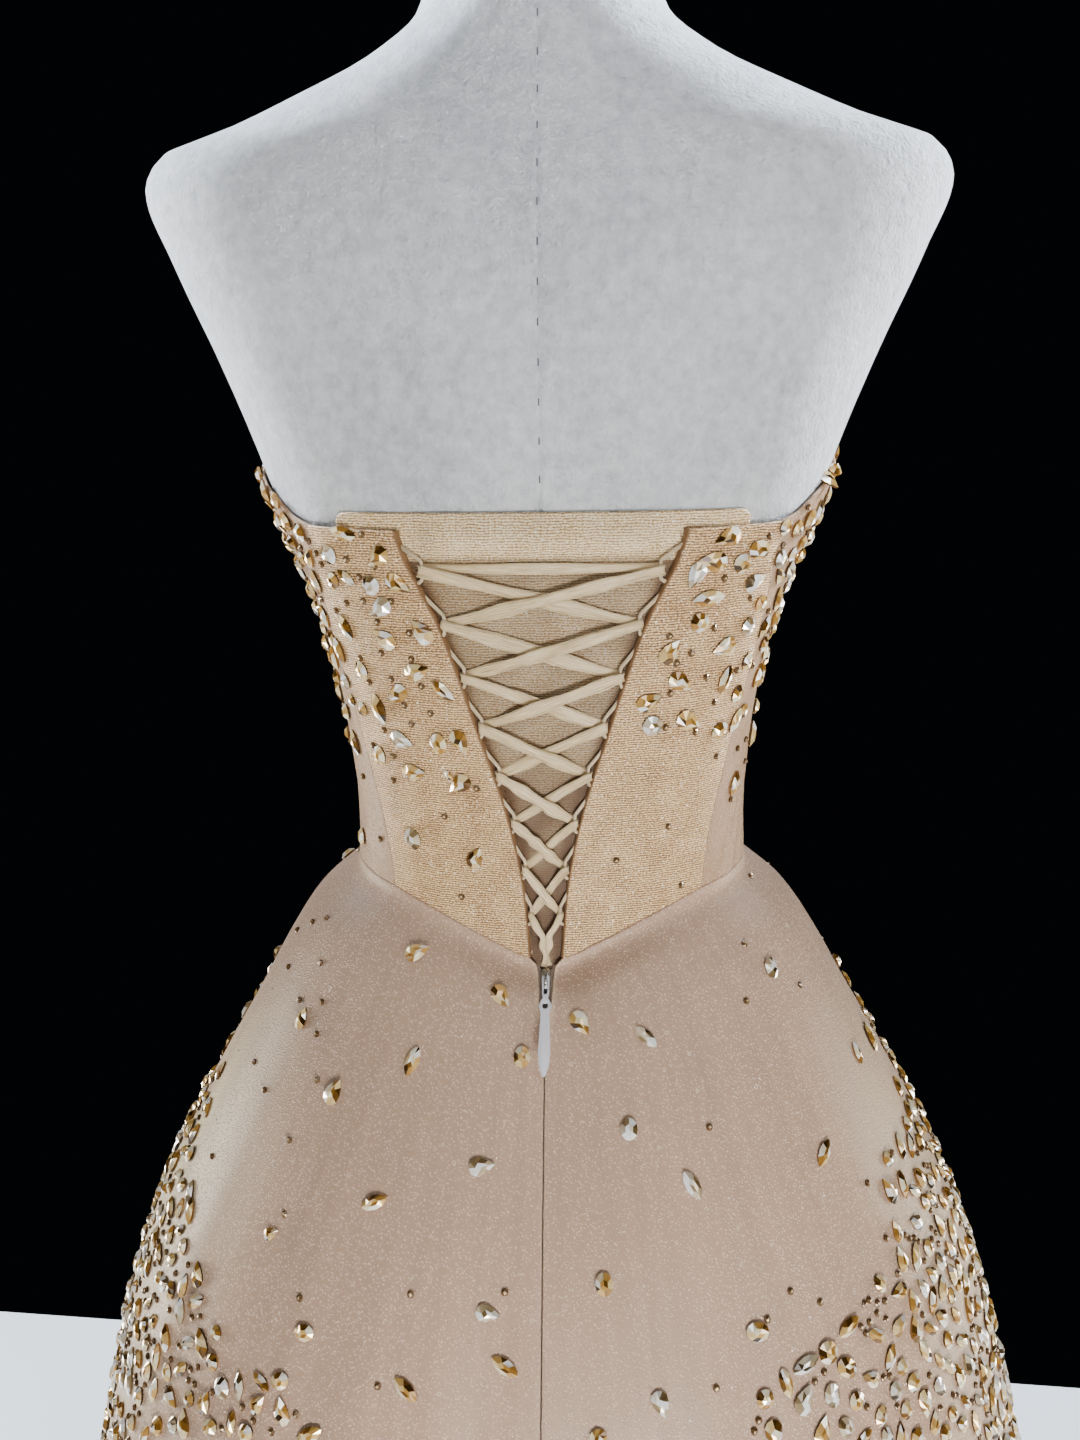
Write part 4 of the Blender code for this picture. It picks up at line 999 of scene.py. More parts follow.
def spaced(count: int, length: float, edges: tuple = (0.0003, 0.0008, 0.0016)) -> Array:
    """Shares from 0 to 1 with extra steps near both ends, for a rounded edge.

    Args:
        count: Even steps between them.
        length: The row's length, in metres.
        edges: Distances of the extra steps from the end.

    Returns:
        The shares.
    """
    near = np.array(edges) / length
    inner = np.linspace(near[-1] * 2.0, 1.0 - near[-1] * 2.0, count)
    return np.concatenate(([0.0], near, inner, 1.0 - near[::-1], [1.0]))


def rounded(shares: Array, length: float, radius: float = 0.0008) -> Array:
    """Share of the wall's thickness left at each place of a row of a length, in metres."""
    away = np.minimum(shares, 1.0 - shares) * length / radius
    return np.sqrt(np.clip(1.0 - (1.0 - np.clip(away, 0.0, 1.0)) ** 2, 0.0, 1.0))


def sheet_area(outer: Array) -> float:
    """Area of a grid of points, in square metres."""
    crossed = np.cross(outer[1:, 1:] - outer[:-1, :-1], outer[1:, :-1] - outer[:-1, 1:])
    return float(0.5 * np.linalg.norm(crossed, axis=-1).sum())


def path_run(path: Array) -> Array:
    """Length run at each point of a path."""
    return np.concatenate(([0.0], np.cumsum(np.linalg.norm(np.diff(path, axis=0), axis=1))))


def ring_solid(name: str, rings: Array) -> Object:
    """Closed solid of a stack of closed rings, from its underside up."""
    n, m = rings.shape[:2]
    faces = grid_faces(n, m, closed=True) + [tuple(range(m)), tuple(reversed(range((n - 1) * m, n * m)))]
    return link_mesh(name, rings.reshape(-1, 3), faces)


def sweep(name: str, path: Array, wide: Array, thick: Array,
          profile: Array) -> Object:
    """Solid along a path: a closed profile in its width and thickness axes.

    Args:
        name: The object's name.
        path: Centre points.
        wide: Width axis at each point, scaled by the half width.
        thick: Thickness axis at each point, scaled by the half thickness.
        profile: Points of the closed profile, in halves of width and thickness.

    Returns:
        The object; its UV map has U across the profile and V along the path in metres.
    """
    n, m = len(path), len(profile)
    points = (path[:, None, :] + profile[None, :, 0, None] * wide[:, None, :]
              + profile[None, :, 1, None] * thick[:, None, :])
    uv = np.stack(np.broadcast_arrays(0.5 + 0.5 * profile[None, :, 0], path_run(path)[:, None]), axis=-1)
    faces = grid_faces(n, m, closed=True) + [tuple(reversed(range(m))), tuple(range((n - 1) * m, n * m))]
    return link_mesh(name, points.reshape(-1, 3), faces, uv.reshape(-1, 2))


def round_corners(points: Array, reach: float, steps: int = 5) -> Array:
    """Polyline whose corners are turned by short curves.

    Args:
        points: Its points.
        reach: How far from a corner its curve starts.
        steps: Points of a curve.

    Returns:
        The new points.
    """
    made = [points[0]]
    for before, at, after in zip(points, points[1:], points[2:]):
        back = min(reach, 0.45 * np.linalg.norm(before - at))
        ahead = min(reach, 0.45 * np.linalg.norm(after - at))
        start = at + unit(before - at) * back
        end = at + unit(after - at) * ahead
        for t in np.linspace(0.0, 1.0, steps):
            made.append((1 - t) ** 2 * start + 2 * t * (1 - t) * at + t * t * end)
    made.append(points[-1])
    return np.array(made)


def catmull(values: Array, steps: int) -> Array:
    """Values eased through by a Catmull-Rom curve.

    Args:
        values: One row of values for each place.
        steps: Steps between two places.

    Returns:
        The values at every step.
    """
    padded = np.concatenate([[2 * values[0] - values[1]], values, [2 * values[-1] - values[-2]]])
    made = []
    for k in range(len(values) - 1):
        p0, p1, p2, p3 = padded[k:k + 4]
        for t in np.arange(steps) / steps:
            made.append(0.5 * (2 * p1 + (p2 - p0) * t + (2 * p0 - 5 * p1 + 4 * p2 - p3) * t * t
                               + (3 * p1 - p0 - 3 * p2 + p3) * t**3))
    made.append(values[-1])
    return np.array(made)


def finish_piece(obj: Object, material: Material, slot: str, *nodes: str,
                 carrier: Carrier = Carrier.GOWN) -> Object:
    """Give a piece its material, let it stand for its solids and ride on its body.

    Args:
        obj: The piece.
        material: Its material.
        slot: Its material slot; not used.
        nodes: The solids it replaces.
        carrier: The body it rides on.

    Returns:
        The piece.
    """
    obj.data.materials.clear()
    obj.data.materials.append(material)
    if nodes:
        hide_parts(*nodes)
    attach(obj, carrier.value)
    LOG.info("%s: %d faces", obj.name, len(obj.data.polygons))
    return obj


# ---------------------------------------------------------------- Geometry Nodes
def bake(name: str, holder: Object) -> Object:
    """Turn what a holder's modifier makes into a plain mesh object, and remove the holder.

    Args:
        name: Name of the new object.
        holder: Object with one modifier.

    Returns:
        The new object, at the origin.
    """
    graph = bpy.context.evaluated_depsgraph_get()
    mesh = bpy.data.meshes.new_from_object(holder.evaluated_get(graph), depsgraph=graph)
    holder.modifiers.clear()
    bpy.data.objects.remove(holder)
    mesh.name = name
    return link_object(name, mesh)


def line_object(name: str, places: list) -> Object:
    """Curve object that runs straight from place to place.

    Args:
        name: Its name.
        places: World points.

    Returns:
        The object.
    """
    curve = bpy.data.curves.new(name, "CURVE")
    curve.dimensions = "3D"
    line = curve.splines.new("POLY")
    line.points.add(len(places) - 1)
    for point, place in zip(line.points, places):
        point.co = (*np.ravel(place), 1.0)
    return link_object(name, curve)


@dataclass
class NodeRecipe:
    """A Geometry Nodes tree with named inputs; all are numbers but for the kinds below."""

    name: str
    inputs: tuple
    kinds: tuple = (("Material", "Material"), ("Cuts", "Collection"), ("Seed", "Int"))
    tree: NodeTree = field(init=False)
    add: Callable = field(init=False)
    given: bpy_prop_collection = field(init=False)
    keys: dict = field(default_factory=dict)

    def __post_init__(self) -> None:
        """Start the tree with its inputs; add puts a node in it, given has the inputs' sockets."""
        self.tree = bpy.data.node_groups.new(self.name, "GeometryNodeTree")
        sockets = self.tree.interface
        for way in ("INPUT", "OUTPUT"):
            sockets.new_socket("Geometry", in_out=way, socket_type="NodeSocketGeometry")
        for name in (*self.inputs, "Material"):
            kind = "NodeSocket" + dict(self.kinds).get(name, "Float")
            self.keys[name] = sockets.new_socket(name, in_out="INPUT", socket_type=kind).identifier
        self.add = partial(add_node, self.tree)
        self.given = self.add("NodeGroupInput").outputs

    def close(self, geometry: Node) -> None:
        """End the tree in Realize Instances and Set Material."""
        real = self.add("GeometryNodeRealizeInstances", (geometry,))
        painted = self.add("GeometryNodeSetMaterial", {"Geometry": real, "Material": self.given["Material"]})
        self.add("NodeGroupOutput", (painted,))

    def run(self, holder: Object, name: str, *values: object) -> Object:
        """Apply the tree to a holder object, which it uses up.

        Args:
            holder: Object that the modifier is put on for the moment.
            name: Name of the result.
            values: Values of the inputs in order, the material last.

        Returns:
            The new object, at the origin.
        """
        modifier = holder.modifiers.new(self.name, "NODES")
        modifier.node_group = self.tree
        for key, value in zip(self.keys.values(), values, strict=True):
            modifier[key] = value
        return bake(name, holder)


# ---------------------------------------------------------------- dress form and stand
@dataclass
class DressForm:
    """White limbless form with a stitched centre back seam."""

    bottom: float = -0.290
    neck_top: float = 0.500
    rows: int = 156
    columns: int = 140
    # Places round where columns lie closer, for the seam's groove.
    near: tuple = (0.0, 0.0008, 0.0016, 0.0026, 0.0042, 0.0070)
    # Rounded rims.  Columns: distance from the end, share of the ring's size.
    under: tuple = ((0.000, 0.93), (0.0015, 0.965), (0.004, 0.985), (0.012, 1.0))
    neck: tuple = ((0.006, 1.0), (0.003, 0.985), (0.001, 0.95), (0.000, 0.90))
    seam_deep: float = 0.0010
    seam_wide: float = 0.0011
    # Heights between which the cloth lies close, and how far the cover is sunk there.
    covered: tuple[float, float] = (-0.05, 0.18)
    sunk: float = 0.0003
    seam_low: float = 0.215
    seam_end: float = 0.02
    seam_points: int = 60
    stitch_pitch: float = 0.0165
    stitch_long: float = 0.0032
    stitch_radius: float = 0.00034

    def rim(self, u: Array, end: float, way: int, least: float, steps: tuple) -> list[Array]:
        """Rings of a rounded rim.

        Args:
            u: Places round.
            end: The rim's height.
            way: 1 where the body is above the rim, or -1.
            least: How far inside the figure's end its ring is looked up.
            steps: Distance from the end and share of the ring's size, for each ring.

        Returns:
            The rings.
        """
        rings = []
        for step, share in steps:
            ring = FIGURE.at(u, end + way * max(step, least), 0.0)
            ring[:, :2] *= share
            ring[:, 2] = end + way * step + WAIST_Z
            rings.append(ring)
        return rings

    def build(self) -> Object:
        """Closed body of rings, with a groove down the centre back.

        Returns:
            The object.
        """
        half = np.concatenate([self.near, np.linspace(1.5 * self.near[-1], 0.5, self.columns // 2)])
        u = np.concatenate([-half[:0:-1], half[:-1]])
        rings = self.rim(u, self.bottom, 1, 0.004, self.under)
        for z in np.linspace(self.bottom + 0.016, self.neck_top - 0.009, self.rows):
            groove = self.seam_deep * np.exp(-(FIGURE.rings.at(u, z, 0.0)[0] / self.seam_wide) ** 2)
            groove = np.where(np.abs(u) < 0.1, groove, 0.0)
            sunk = self.sunk if self.covered[0] < z < self.covered[1] else 0.0
            rings.append(FIGURE.at(u, z, -groove - sunk))
        rings += self.rim(u, self.neck_top, -1, 0.003, self.neck)
        return ring_solid("form_cover", np.array(rings))

    def stitches(self, thread: Material) -> Object:
        """Short tacking stitches that show along the centre back seam.

        Args:
            thread: Their material.

        Returns:
            The object.
        """
        recipe = NodeRecipe("seam_stitches", ("Spacing", "Stitch length", "Stitch radius"))
        add, given = recipe.add, recipe.given
        points = add("GeometryNodeCurveToPoints", {0: given[0], "Length": given["Spacing"]}, mode="LENGTH")
        stitch = add("GeometryNodeMeshCylinder", fill_type="NGON", inputs={
            "Vertices": 6, "Radius": given["Stitch radius"], "Depth": given["Stitch length"]})
        recipe.close(add("GeometryNodeInstanceOnPoints", {
            "Points": points, "Instance": stitch, "Rotation": points.outputs["Rotation"]}))
        heights = np.linspace(self.seam_low, self.neck_top - self.seam_end, self.seam_points)
        line = line_object("seam_line", [FIGURE.at(0.0, z, -self.sunk) for z in heights])
        return recipe.run(line, "form_seam_stitches", self.stitch_pitch, self.stitch_long,
                          self.stitch_radius, thread)

    def dress(self) -> None:
        """Build and finish the form."""
        finish_piece(self.build(), Flock().make(), "form_cover", "form_torso")
        thread = Plain("grey_seam_thread", "6C6E72", "505256", 0.8, 400.0).make()
        finish_piece(self.stitches(thread), thread, "form_cover")


@dataclass
class Stand:
    """Turned steel base and pole."""

    base_radius: float = 0.185
    base_thick: float = 0.016
    dome: float = 0.003
    pole_radius: float = 0.015
    socket_radius: float = 0.021
    collar_radius: float = 0.032
    collar_tall: float = 0.022
    flat_radius: float = 0.032
    base_steps: int = 128
    pole_steps: int = 64
    sharp_angle: float = math.radians(40.0)
    gap: float = 0.0003

    def lathe(self, name: str, profile: list[tuple[float, float]], steps: int) -> Object:
        """Turned piece.

        Args:
            name: Its name.
            profile: Radius and height of each ring, from the underside up.
            steps: Points of a ring.

        Returns:
            The object.
        """
        radius, height = np.array(profile).T[:, :, None]
        angle = np.linspace(0.0, math.tau, steps, endpoint=False)
        rings = np.broadcast_arrays(radius * np.cos(angle), radius * np.sin(angle), height)
        obj = ring_solid(name, np.stack(rings, axis=-1))
        obj.data.set_sharp_from_angle(angle=self.sharp_angle)
        return obj

    def dress(self) -> None:
        """Build and finish both pieces."""
        steel = Metal("satin_steel", "B9BBBD", 0.30, 240.0).make()
        r, t = self.base_radius, self.base_thick
        top = t + self.dome
        bend = [(r - 0.004 + 0.004 * math.sin(a), t - 0.004 + 0.004 * math.cos(a))
                for a in np.linspace(math.pi / 2, 0.0, 7)]
        base = [(r - 0.002, 0.0), (r - 0.0006, 0.0006), (r, 0.002), *bend, (self.flat_radius, top)]
        turned = self.lathe("stand_base_turned", base, self.base_steps)
        finish_piece(turned, steel, "stand_steel", "stand_base")
        low = top + self.gap
        high = DressForm.bottom + WAIST_Z - self.gap
        p, s, c = self.pole_radius, self.socket_radius, self.collar_radius
        pole = [(s, low), (s, low + 0.0125), (s - 0.0012, low + 0.014), (p, low + 0.018),
                (p, high - self.collar_tall), (c - 0.002, high - 0.0135), (c, high - 0.012), (c, high)]
        turned = self.lathe("stand_pole_turned", pole, self.pole_steps)
        finish_piece(turned, steel, "stand_steel", "stand_pole")


# ---------------------------------------------------------------- bodice
@dataclass
class ClothShell:
    """Cloth panels of one kind; panels keeps each one's outer face and area."""

    wall: float = 0.0020
    thick: float = 0.0015
    half_round: float = 0.360
    # Shares of the thickness left at the seams and at the waist seam.
    seam_left: float = 0.90
    waist_left: float = 0.40
    held: str = "stretched"
    panels: dict = field(default_factory=dict)

    def at(self, u: Array, key: Array, out: Array) -> Array:
        """World points at places round and heights or depths, moved out."""
        return FIGURE.at(u, key, out)

    def sew(self, name: str, grid: tuple, foot: Array, left: tuple, relief: tuple,
            uv: tuple) -> Object:
        """Make a panel's wall.

        Args:
            name: The object's name.
            grid: Places round, and heights or depths, by row and column.
            foot: Distance of the inner face.
            left: Shares of the thickness across the panel and up it, before the least shares.
            relief: Relief of the outer face and of the inner face.
            uv: The cloth's two coordinates, in metres.

        Returns:
            The object.
        """
        body, ends = left
        share = self.seam_left + (1.0 - self.seam_left) * body
        share = share * (self.waist_left + (1.0 - self.waist_left) * ends)
        outer = self.at(*grid, foot + self.thick * share + relief[0])
        self.panels[name] = (outer, sheet_area(outer))
        return cloth_wall(name, outer, self.at(*grid, foot + relief[1]), np.stack(uv, axis=-1))

    def declare(self) -> None:
        """Work out each panel's width, length and area from its outer face; the result is not kept."""
        for name, (outer, area) in self.panels.items():
            width, length = (float(np.linalg.norm(np.diff(outer, axis=axis), axis=-1).sum(axis=axis).max())
                             for axis in (1, 0))
            min(area, width * length)


@dataclass
class Bodice(ClothShell):
    """Five cloth panels round the form, open at the centre back."""

    rows: int = 78
    edge_rise: float = 0.0012
    edge_reach: float = 0.010
    turn_wide: float = 0.0020
    turn_deep: float = 0.0030
    rim_round: float = 0.0012
    # Columns of the turned edge, and where and how often heights are looked up again.
    turn_steps: tuple = (-1.0, -0.75, -0.5, -0.25)
    first_z: float = 0.09
    rounds: int = 6
    back_columns: int = 44
    side_columns: int = 60
    front_columns: int = 104
    # Usual width and height of the panels, for the rounding of their edges.
    panel_wide: float = 0.075
    panel_tall: float = 0.2
    front_wide: float = 0.24
    front_tall: float = 0.22

    # Soft drag lines in the tulle near the waist.  Columns: place round and height of both
    # ends, half width, rise; a negative place is on the wearer's right.
    drag_lines: tuple = (
        (-0.150, -0.004, -0.190, 0.062, 0.0026, 0.0010), (-0.162, -0.010, -0.212, 0.078, 0.0030, 0.0012),
        (-0.182, -0.008, -0.226, 0.066, 0.0028, 0.0010), (-0.205, -0.006, -0.238, 0.070, 0.0030, 0.0009),
        (0.150, -0.008, 0.182, 0.048, 0.0034, 0.0005), (0.188, -0.006, 0.214, 0.060, 0.0034, 0.0006),
        (0.262, 0.000, 0.246, 0.064, 0.0040, 0.0006), (-0.262, 0.000, -0.250, 0.060, 0.0040, 0.0006),
        (0.352, 0.002, 0.340, 0.056, 0.0040, 0.0006), (-0.356, 0.002, -0.342, 0.060, 0.0040, 0.0006))

    def relief(self, u: Array, z: Array) -> Array:
        """Height of the drag lines and of the cloth's slight unevenness.

        Args:
            u: Places round.
            z: Heights.

        Returns:
            The heights above the plain wall.
        """
        total = 0.00012 * np.sin(u * 61.0 + z * 37.0) * np.sin(z * 93.0 - u * 29.0)
        away = (np.abs(u) - FIGURE.opening(z)) * 2.0 * self.half_round
        total = total + self.edge_rise * np.exp(-(away / self.edge_reach) ** 2) * (np.abs(u) < 0.2)
        for u0, z0, u1, z1, wide, rise in self.drag_lines:
            ax, ay = (u1 - u0) * 2.0 * self.half_round, z1 - z0
            px, py = (u - u0) * 2.0 * self.half_round, z - z0
            along = (px * ax + py * ay) / (ax * ax + ay * ay)
            off = (px * ay - py * ax) / math.hypot(ax, ay)
            taper = ease(along / 0.35) * ease((1.0 - along) / 0.45)
            total = total + rise * taper * np.exp(-(off / wide) ** 2)
        return total

    def panel(self, name: str, low: Callable, high: Callable, columns: int, side: int,
              turned: bool = False) -> Object:
        """One panel between two seams.

        Args:
            name: The object's name.
            low: Gives the place round of the seam nearer the centre back from the height.
            high: The same for the other seam.
            columns: Columns between the rounded edges.
            side: Sign of x.
            turned: Whether the edge nearer the centre back is turned in, with painted shade on the turned
                strip.

        Returns:
            The object.
        """
        across = spaced(columns, self.panel_wide)
        if turned:
            across = np.concatenate((self.turn_steps, across))
        row, column = grid(spaced(self.rows, self.panel_tall), across)
        turn = np.clip(-column, 0.0, 1.0)
        column = np.clip(column, 0.0, 1.0)
        if side > 0:
            row, column, turn = row[:, ::-1], column[:, ::-1], turn[:, ::-1]
        z = np.full(row.shape, self.first_z)
        for _ in range(self.rounds):
            u = low(z) + (high(z) - low(z)) * column
            z = FIGURE.waist(u) + (FIGURE.top(u) - FIGURE.waist(u)) * row
        u = low(z) + (high(z) - low(z)) * column - turn * self.turn_wide / (2.0 * self.half_round)
        foot = FIGURE.bodice_gap(u, z) + self.wall - self.thick
        relief = self.relief(side * u, z) - self.turn_deep * (1.0 - np.sqrt(1.0 - 0.999 * turn**2))
        left = (np.where(turn > 0, 1.0, rounded(column, self.panel_wide)),
                rounded(row, self.panel_tall, self.rim_round))
        obj = self.sew(name, (side * u, z), foot, left, (relief, INNER_RELIEF * relief),
                       (side * u * 2.0 * self.half_round, z))
        if turned:
            # Painted shade on the turned-in strip along the opening.
            set_attribute(obj, "turned_in", np.tile(ease(turn.ravel() * 3.0), 2))
        return obj

    def front(self) -> Object:
        """The front panel, from side seam to side seam, lying flat inside.

        Returns:
            The object.
        """
        row, column = grid(spaced(self.rows, self.front_tall), spaced(self.front_columns, self.front_wide))
        first = FIGURE.side_front
        place = first + (1.0 - 2.0 * first) * column
        u = np.where(place <= 0.5, -place, 1.0 - place)
        z = FIGURE.waist(u) + (FIGURE.top(u) - FIGURE.waist(u)) * row
        left = (rounded(column, self.front_wide), rounded(row, self.front_tall, self.rim_round))
        return self.sew("bodice_front_cloth", (u, z), FIGURE.front_gap + self.wall - self.thick, left,
                        (self.relief(u, z), 0.0), (-place * 2.0 * self.half_round, z))

    def build(self, mesh_cloth: Material, tulle: Material) -> None:
        """Build and finish the five panels.

        Args:
            mesh_cloth: Material of the back panels.
            tulle: Material of the others.
        """
        for side in Side:
            back = self.panel(f"bodice_back_{side.word}_cloth", FIGURE.opening, FIGURE.side_back,
                              self.back_columns, side.value, turned=True)
            finish_piece(back, mesh_cloth, "glitter_mesh", f"bodice_back_{side.word}")
            flank = self.panel(f"bodice_side_{side.word}_cloth", FIGURE.side_back,
                               lambda z: np.full(z.shape, FIGURE.side_front), self.side_columns, side.value)
            finish_piece(flank, tulle, "tulle_over_satin", f"bodice_side_{side.word}")
        finish_piece(self.front(), tulle, "tulle_over_satin", "bodice_front")


@dataclass
class ModestyPanel:
    """Glitter mesh panel behind the laces, with a padded upper band."""

    half: float = 0.098
    top: float = 0.2005
    under_waist: float = 0.0100
    thick: float = 0.0014
    corner: float = 0.005
    narrow: float = 0.52
    puff: float = 0.0054
    band_z: float = 0.1850
    band_up: float = 0.0120
    band_down: float = 0.0046
    band_half: float = 0.060
    # Height and width of the crease under the band, and how far painted shade reaches in from the opening's
    # edges.
    crease_z: float = 0.1772
    crease_wide: float = 0.0018
    side_tone: float = 0.0050
    wide: float = 0.18
    tall: float = 0.22
    rows: int = 100
    columns: int = 80

    def relief(self, x: Array, z: Array) -> Array:
        """Padded band that turns in sharply below, and soft ridges behind the laces.

        Args:
            x: Distances from the middle.
            z: Heights.

        Returns:
            The heights above the plain wall.
        """
        reach = np.where(z > self.band_z, self.band_up, self.band_down)
        band = self.puff * np.exp(-np.abs((z - self.band_z) / reach) ** 2.4)
        band = band * ease((self.band_half - np.abs(x)) / 0.014) * (1.0 + 0.10 * np.sin(x * 120.0 + 0.7))
        sides = np.exp(-((np.abs(x) - 0.22 * np.clip(z, 0.02, 0.2)) / 0.008) ** 2)
        low = 0.0009 * sides * ease((0.160 - z) / 0.03) * ease((z + 0.005) / 0.03)
        return band + low + 0.00015 * np.sin(z * 210.0 + x * 40.0) * ease((0.165 - z) / 0.02)

    def depth_tone(self, x: Array, z: Array) -> Array:
        """Painted shade: darkest in the crease under the band, darker low down and by the opening's edges, a
        little on the band's top, with a slight cloud.

        Args:
            x: Distances from the middle.
            z: Heights.

        Returns:
            The shares, from 0 to 1.
        """
        crease = np.exp(-((z - self.crease_z) / self.crease_wide) ** 2) * (np.abs(x) < self.band_half)
        upper = 0.05 * ease((z - 0.184) / 0.011)
        cloudy = 0.10 * np.sin(z * 150.0 + 2.0 * np.sin(x * 70.0)) * np.sin(x * 95.0 + z * 40.0)
        low = 0.58 + cloudy + 0.32 * ease((0.120 - z) / 0.090)
        off = lookup(FIGURE.opening_table, z) - np.abs(x)
        side = 0.45 * np.exp(-(np.clip(off, 0.0, 1.0) / self.side_tone) ** 2) * (z < self.crease_z)
        body = np.where(z > self.crease_z, upper, low)
        return np.clip(np.maximum(body + side, 0.95 * crease), 0.0, 1.0)

    def layer(self, x: Array, z: Array, out: Array) -> Array:
        """Points of a face, by row and column."""
        points = [FIGURE.back(*place) for place in zip(x.ravel(), z.ravel(), out.ravel())]
        return np.array(points).reshape(*x.shape, 3)

    def build(self, cloth: Material) -> None:
        """Build and finish the panel.

        Args:
            cloth: Its material.
        """
        row, column = grid(spaced(self.rows, self.tall), spaced(self.columns, self.wide))
        across = 2.0 * column - 1.0
        across = np.sign(across) * np.abs(across) ** 0.8
        x = -self.half * across
        turned = np.clip((np.abs(x) - (self.half - self.corner)) / self.corner, 0.0, 1.0)
        top = self.top - self.corner * (1.0 - np.sqrt(1.0 - turned**2))
        x = x * (1.0 - self.narrow * (1.0 - row))
        foot = np.array([FIGURE.rings.back(float(a), 0.0)[0] for a in x[0]])
        bottom = (FIGURE.waist(foot) - self.under_waist)[None, :]
        z = bottom + (top - bottom) * row
        body = rounded(row, self.tall) * rounded(column, self.wide)
        above = ease((z - bottom) / self.under_waist)
        gap = FIGURE.form_gap * (0.3 + 0.7 * above)
        relief = self.relief(x, z) * body
        outer = self.layer(x, z, gap + self.thick * (0.15 + 0.85 * body) * (0.4 + 0.6 * above) + relief)
        inner = self.layer(x, z, gap + relief * INNER_RELIEF)
        obj = cloth_wall("modesty_panel_cloth", outer, inner, np.stack([x, z], axis=-1))
        # Painted shade in the crease under the band, lower down and beside the opening's edges.
        set_attribute(obj, "turned_in", np.tile(self.depth_tone(x, z).ravel(), 2))
        finish_piece(obj, cloth, "glitter_mesh", "modesty_panel")


# ---------------------------------------------------------------- loops and lace
@dataclass
class Lacing:
    """Cord loops along both edges of the opening and the satin ribbon crossed through them."""

    loops: int = 8
    top: float = 0.174
    pitch: float = 0.0255
    first_reach: float = 0.0062
    reach: float = 0.0034
    tall: float = 0.0088
    foot: float = 0.0030
    foot_long: float = 0.0018
    lead: float = 0.0085
    cord_radius: float = 0.0008
    strap: float = 1.45
    tucked: float = 0.0016
    edge_out: float = 0.0033
    tip_out: float = 0.0052
    wide: float = 0.0067
    thick: float = 0.0007
    at_tips: float = 0.76
    back_out: float = 0.00375
    front_out: float = 0.00665
    cross_shift: float = 0.0003
    turn_drop: float = 0.0006
    gather: float = 0.50
    roll: float = 0.17
    tuck: tuple[float, float, float] = (0.0012, 0.0035, 0.0036)
    cross_front: str = "ABAABAB"
    strand_steps: tuple = (0.14, 0.30, 0.42, 0.58, 0.70, 0.86)
    top_steps: tuple = (0.10, 0.25, 0.42, 0.58, 0.75, 0.90)
    # Columns: share of the way down, sideways bend.
    tail_steps: tuple = ((0.22, -0.0010), (0.42, -0.0016), (0.60, 0.0004), (0.78, -0.0012), (1.00, 0.0000))
    tail_apart: float = 0.0006
    # Shares of a run after which it has crossed over, and over which it turns flat.
    cross_over: float = 0.36
    turn_flat: float = 0.30
    curve_steps: int = 4
    across: tuple = (-1.0, -0.93, -0.75, -0.35, 0.0, 0.35, 0.75, 0.93, 1.0)
    pucker: float = 0.00016
    pucker_pitch: float = 0.0067
    cup: float = 0.00055

    def tip(self, side: int, index: int) -> tuple[float, float]:
        """Middle of a loop's upright tip.

        Args:
            side: Sign of x.
            index: The loop's number from the top.

        Returns:
            Its x and height.
        """
        z = self.top - self.pitch * index
        reach = self.first_reach if index == 0 else self.reach
        return side * (float(lookup(FIGURE.opening_table, z)) - reach), z

    def build_loops(self, side: Side, satin: Material) -> None:
        """One cord run in loops down an edge.

        Args:
            side: The edge's side.
            satin: The cord's material.
        """
        def on_edge(z: float) -> Array:
            """Point just under the cloth's edge at a height."""
            wide = float(lookup(FIGURE.opening_table, z)) + self.tucked
            return FIGURE.back(side.value * wide, z, self.edge_out)

        path = [on_edge(self.top + 0.5 * self.tall + self.lead)]
        for k in range(self.loops):
            x, z = self.tip(side.value, k)
            low = z - 0.5 * self.tall
            path.append(FIGURE.back(x, z + 0.5 * self.tall, self.tip_out))
            path.append(FIGURE.back(x, low, self.tip_out))
            path.append(on_edge(low - self.foot))
            if k < self.loops - 1:
                path.append(on_edge(low - self.foot - self.foot_long))
        line = round_corners(np.array(path), 0.0009)
        heading = unit(np.gradient(line, axis=0))
        outward = np.array([0.0, 1.0, 0.0])
        wide = unit(np.cross(heading, outward))
        thick = unit(np.cross(wide, heading))
        angle = np.linspace(0.0, math.tau, 10, endpoint=False)
        ring = np.stack([np.cos(angle), np.sin(angle)], axis=-1)
        out = np.array([p[1] - FIGURE.back(p[0], p[2] - WAIST_Z, 0.0)[1] for p in line])
        flat = ease((self.tip_out - 0.0002 - out) / 0.0010)[:, None]
        wide = wide * self.cord_radius * (1.04 + (self.strap - 1.04) * flat)
        thick = thick * self.cord_radius * (0.92 - 0.30 * flat)
        obj = sweep(f"loop_cord_{side.word}", line, wide, thick, ring)
        finish_piece(obj, satin, "lace_satin", f"loops_{side.word}")

    def strand(self, start: tuple, finish: tuple, in_front: bool) -> list[tuple]:
        """One run, from the front of one tip to the back of the next.

        Args:
            start: The first tip.
            finish: The next tip.
            in_front: Whether it crosses before the other half.

        Returns:
            Its places: x, height, distance out, flatness and facing.
        """
        middle = self.front_out - self.cross_shift if in_front else self.back_out + self.cross_shift
        places = []
        away = 1.0 - self.cross_over
        for s in self.strand_steps:
            out = middle
            if s < self.cross_over:
                out = self.front_out + (middle - self.front_out) * float(ease(s / self.cross_over))
            elif s > away:
                out = middle + (self.back_out - middle) * float(ease((s - away) / self.cross_over))
            flat = float(ease(min(s, 1.0 - s) / self.turn_flat))
            places.append((start[0] + (finish[0] - start[0]) * s, start[1] + (finish[1] - start[1]) * s,
                           out, flat, 0))
        return places

